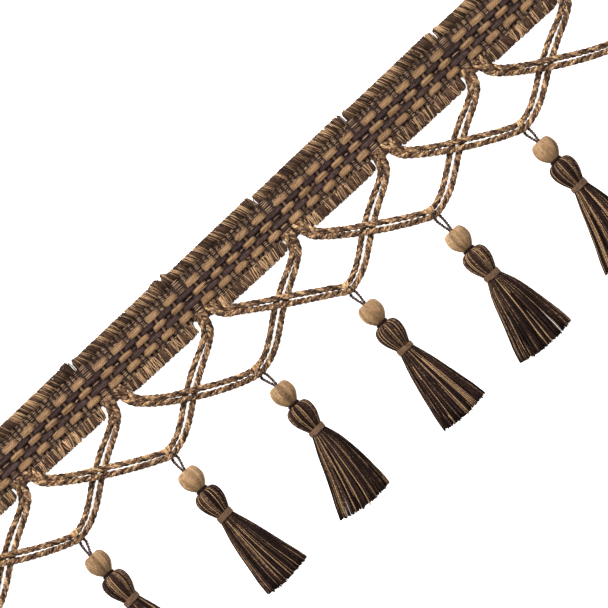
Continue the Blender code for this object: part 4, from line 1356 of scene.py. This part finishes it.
@dataclass
class Tassel:
    """The tassel's closed top, its striped head and its skirt."""

    layout: TrimLayout
    chance: np.random.Generator
    head_outline: tuple[tuple[float, float], ...] = (
        (0.8, 0.9), (0.6, 1.7), (0.75, 2.6), (1.3, 3.6), (2.0, 4.1), (2.8, 4.4), (4.4, 4.5),
        (6.2, 4.22), (7.7, 3.72), (9.2, 3.1), (10.2, 2.65), (11.3, 2.5), (13.3, 2.5))
    head_yarns: int = 42
    head_steps: int = 17
    head_yarn: float = 0.5 * MM         # a yarn's radius, at most
    head_girths: tuple[float, float] = (0.55, 1.15)     # of a tan yarn and a dark one, in
                                                        # shares of the room that each has
    tan_every: int = 4                  # one yarn in so many is tan
    collar_turns: float = 2.6
    collar_radius: float = 1.9          # mm
    collar_sway: float = 0.12           # mm
    collar_depths: tuple[float, float] = (-0.1, 0.8)    # mm: where it starts and how far it goes
    collar_drop: float = 0.3 * MM       # below the head's axis
    collar_yarn: float = 0.36 * MM
    finish: bpy.types.Material = field(default_factory=TASSEL_YARN.material)

    def collar(self, swag: int, tassel: StrandMesh) -> None:
        """Wind the dark thread that closes the head's top, under the bead."""
        share = np.linspace(0, 1, 48)
        angle = share * self.collar_turns * 2 * math.pi
        radius = (self.collar_radius + self.collar_sway * np.sin(share * 5)) * MM
        start, fall = self.collar_depths
        middle_z = self.layout.head_axis - self.collar_drop
        centres = np.stack([self.layout.tassel_x(swag) + radius * np.cos(angle),
                            self.layout.head_y(swag) - (start + fall * share) * MM,
                            middle_z + radius * np.sin(angle)], axis=-1)
        tassel.add(centres[None], self.collar_yarn, 0.15)

    def head(self, swag: int, tassel: StrandMesh) -> None:
        """Lay the head's dark and tan yarns over its dark core."""
        top = (self.layout.tassel_x(swag), self.layout.head_y(swag), self.layout.head_axis)
        count, every = self.head_yarns, self.tan_every
        centres, radius = turned_strands(self.head_outline, count, self.head_steps, top)
        yarns = np.arange(count)
        tan = yarns % every == self.chance.integers(0, every, count)[yarns // every]
        tones = np.where(tan, self.chance.uniform(0.8, 1.0, count),
                         self.chance.uniform(0.1, 0.62, count))
        girth = np.where(tan, *self.head_girths)[:, None]
        thickness = np.minimum(radius * math.pi / count * girth, self.head_yarn)
        tassel.add(centres, thickness, tones, outward=np.array((0.0, 1.0, 0.0)))
        add_core(tassel, self.head_outline, top, 0.05)

    def build(self, swag: int) -> None:
        """Make one tassel: its collar, its head and its skirt."""
        tassel = StrandMesh(f"yarn_tassel_{swag + 1}", 4, self.chance)
        self.collar(swag, tassel)
        self.head(swag, tassel)
        Skirt(self.layout, self.chance).hang(swag, tassel)
        dress(tassel.build(self.finish), Slot.TASSEL, f"tassel_{swag + 1}")


@dataclass
class Hangings:
    """What hangs from each swag: its thread loop, its bead, its wrapped neck and its tassel."""

    layout: TrimLayout
    chance: np.random.Generator = field(default_factory=lambda: np.random.default_rng(37))

    def build(self) -> None:
        """Make all that hangs from one swag, then from the next."""
        kinds = [kind(self.layout, self.chance)
                 for kind in (ThreadLoop, WoundBead, NeckWrap, Tassel)]
        for swag in range(len(self.layout.hangs)):
            for kind in kinds:
                kind.build(swag)


@dataclass
class Studio:
    """The pale floor, the soft lights and the camera straight above, turned on the diagonal."""

    aim: tuple[float, float] = (7.2 * MM, -27.65 * MM)
    turn: float = -42.5
    distance: float = 1.2
    view_width: float = 202.67 * MM
    sensor: float = 36.0
    floor_size: float = 6.0
    floor_drop: float = 0.1 * MM        # clear of the part's underside
    floor_tint: float = 0.92
    floor_glow: float = 0.85            # lit from below, as a light table is
    surround: float = 0.42
    lamps: tuple[tuple[str, tuple[float, float, float], float, float], ...] = (
        ("key", (-0.4, 1.1, 1.1), 0.8, 56.0), ("fill", (1.0, -0.6, 1.4), 1.4, 12.0))

    def camera(self) -> None:
        """Place the camera over the part that the picture shows."""
        data = bpy.data.cameras.new("camera")
        data.sensor_width = self.sensor
        data.lens = self.sensor * self.distance / self.view_width
        data.clip_end = 50.0
        camera = bpy.data.objects.new("camera", data)
        camera.location = (*self.aim, self.distance)
        camera.rotation_euler = (0.0, 0.0, math.radians(self.turn))
        bpy.context.scene.collection.objects.link(camera)
        bpy.context.scene.camera = camera

    def floor(self) -> None:
        """Lay a plain white floor."""
        half = self.floor_size / 2
        mesh = bpy.data.meshes.new("floor")
        mesh.from_pydata([(-half, -half, 0), (half, -half, 0), (half, half, 0), (-half, half, 0)],
                         [], [(0, 1, 2, 3)])
        sheet = NodeSheet("white_floor")
        shader = sheet.node("ShaderNodeBsdfPrincipled", {
            "Base Color": (self.floor_tint, self.floor_tint, self.floor_tint, 1.0),
            "Roughness": 0.9, "Specular IOR Level": 0.1,
            "Emission Color": (1.0, 1.0, 1.0, 1.0), "Emission Strength": self.floor_glow})
        output = sheet.node("ShaderNodeOutputMaterial")
        sheet.tree.links.new(shader.outputs[0], output.inputs[0])
        mesh.materials.append(sheet.material)
        floor = bpy.data.objects.new("floor", mesh)
        floor.location = (0.0, 0.0, -self.floor_drop)
        bpy.context.scene.collection.objects.link(floor)

    def lamp(self, name: str, place: tuple[float, float, float], size: float,
             power: float) -> None:
        """Hang one soft square lamp that faces the trim."""
        data = bpy.data.lights.new(name, "AREA")
        data.size = size
        data.energy = power
        lamp = bpy.data.objects.new(name, data)
        lamp.location = place
        lamp.rotation_euler = (-Vector(place)).to_track_quat("-Z", "Y").to_euler()
        bpy.context.scene.collection.objects.link(lamp)

    def build(self) -> None:
        """Set up the camera, the floor, the lights and the even surround."""
        self.camera()
        self.floor()
        for lamp in self.lamps:
            self.lamp(*lamp)
        world = bpy.data.worlds.new("surround")
        world.use_nodes = True
        background = world.node_tree.nodes["Background"]
        background.inputs["Color"].default_value = (1.0, 1.0, 1.0, 1.0)
        background.inputs["Strength"].default_value = self.surround
        scene = bpy.context.scene
        scene.world = world
        scene.view_settings.view_transform = "Standard"


def main() -> None:
    """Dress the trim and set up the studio."""
    logging.basicConfig(level=logging.INFO, format="%(message)s")
    layout = TrimLayout()
    Studio().build()
    Swags(layout).build()
    Heading(layout).build()
    Hangings(layout).build()


if __name__ == "__main__":
    main()
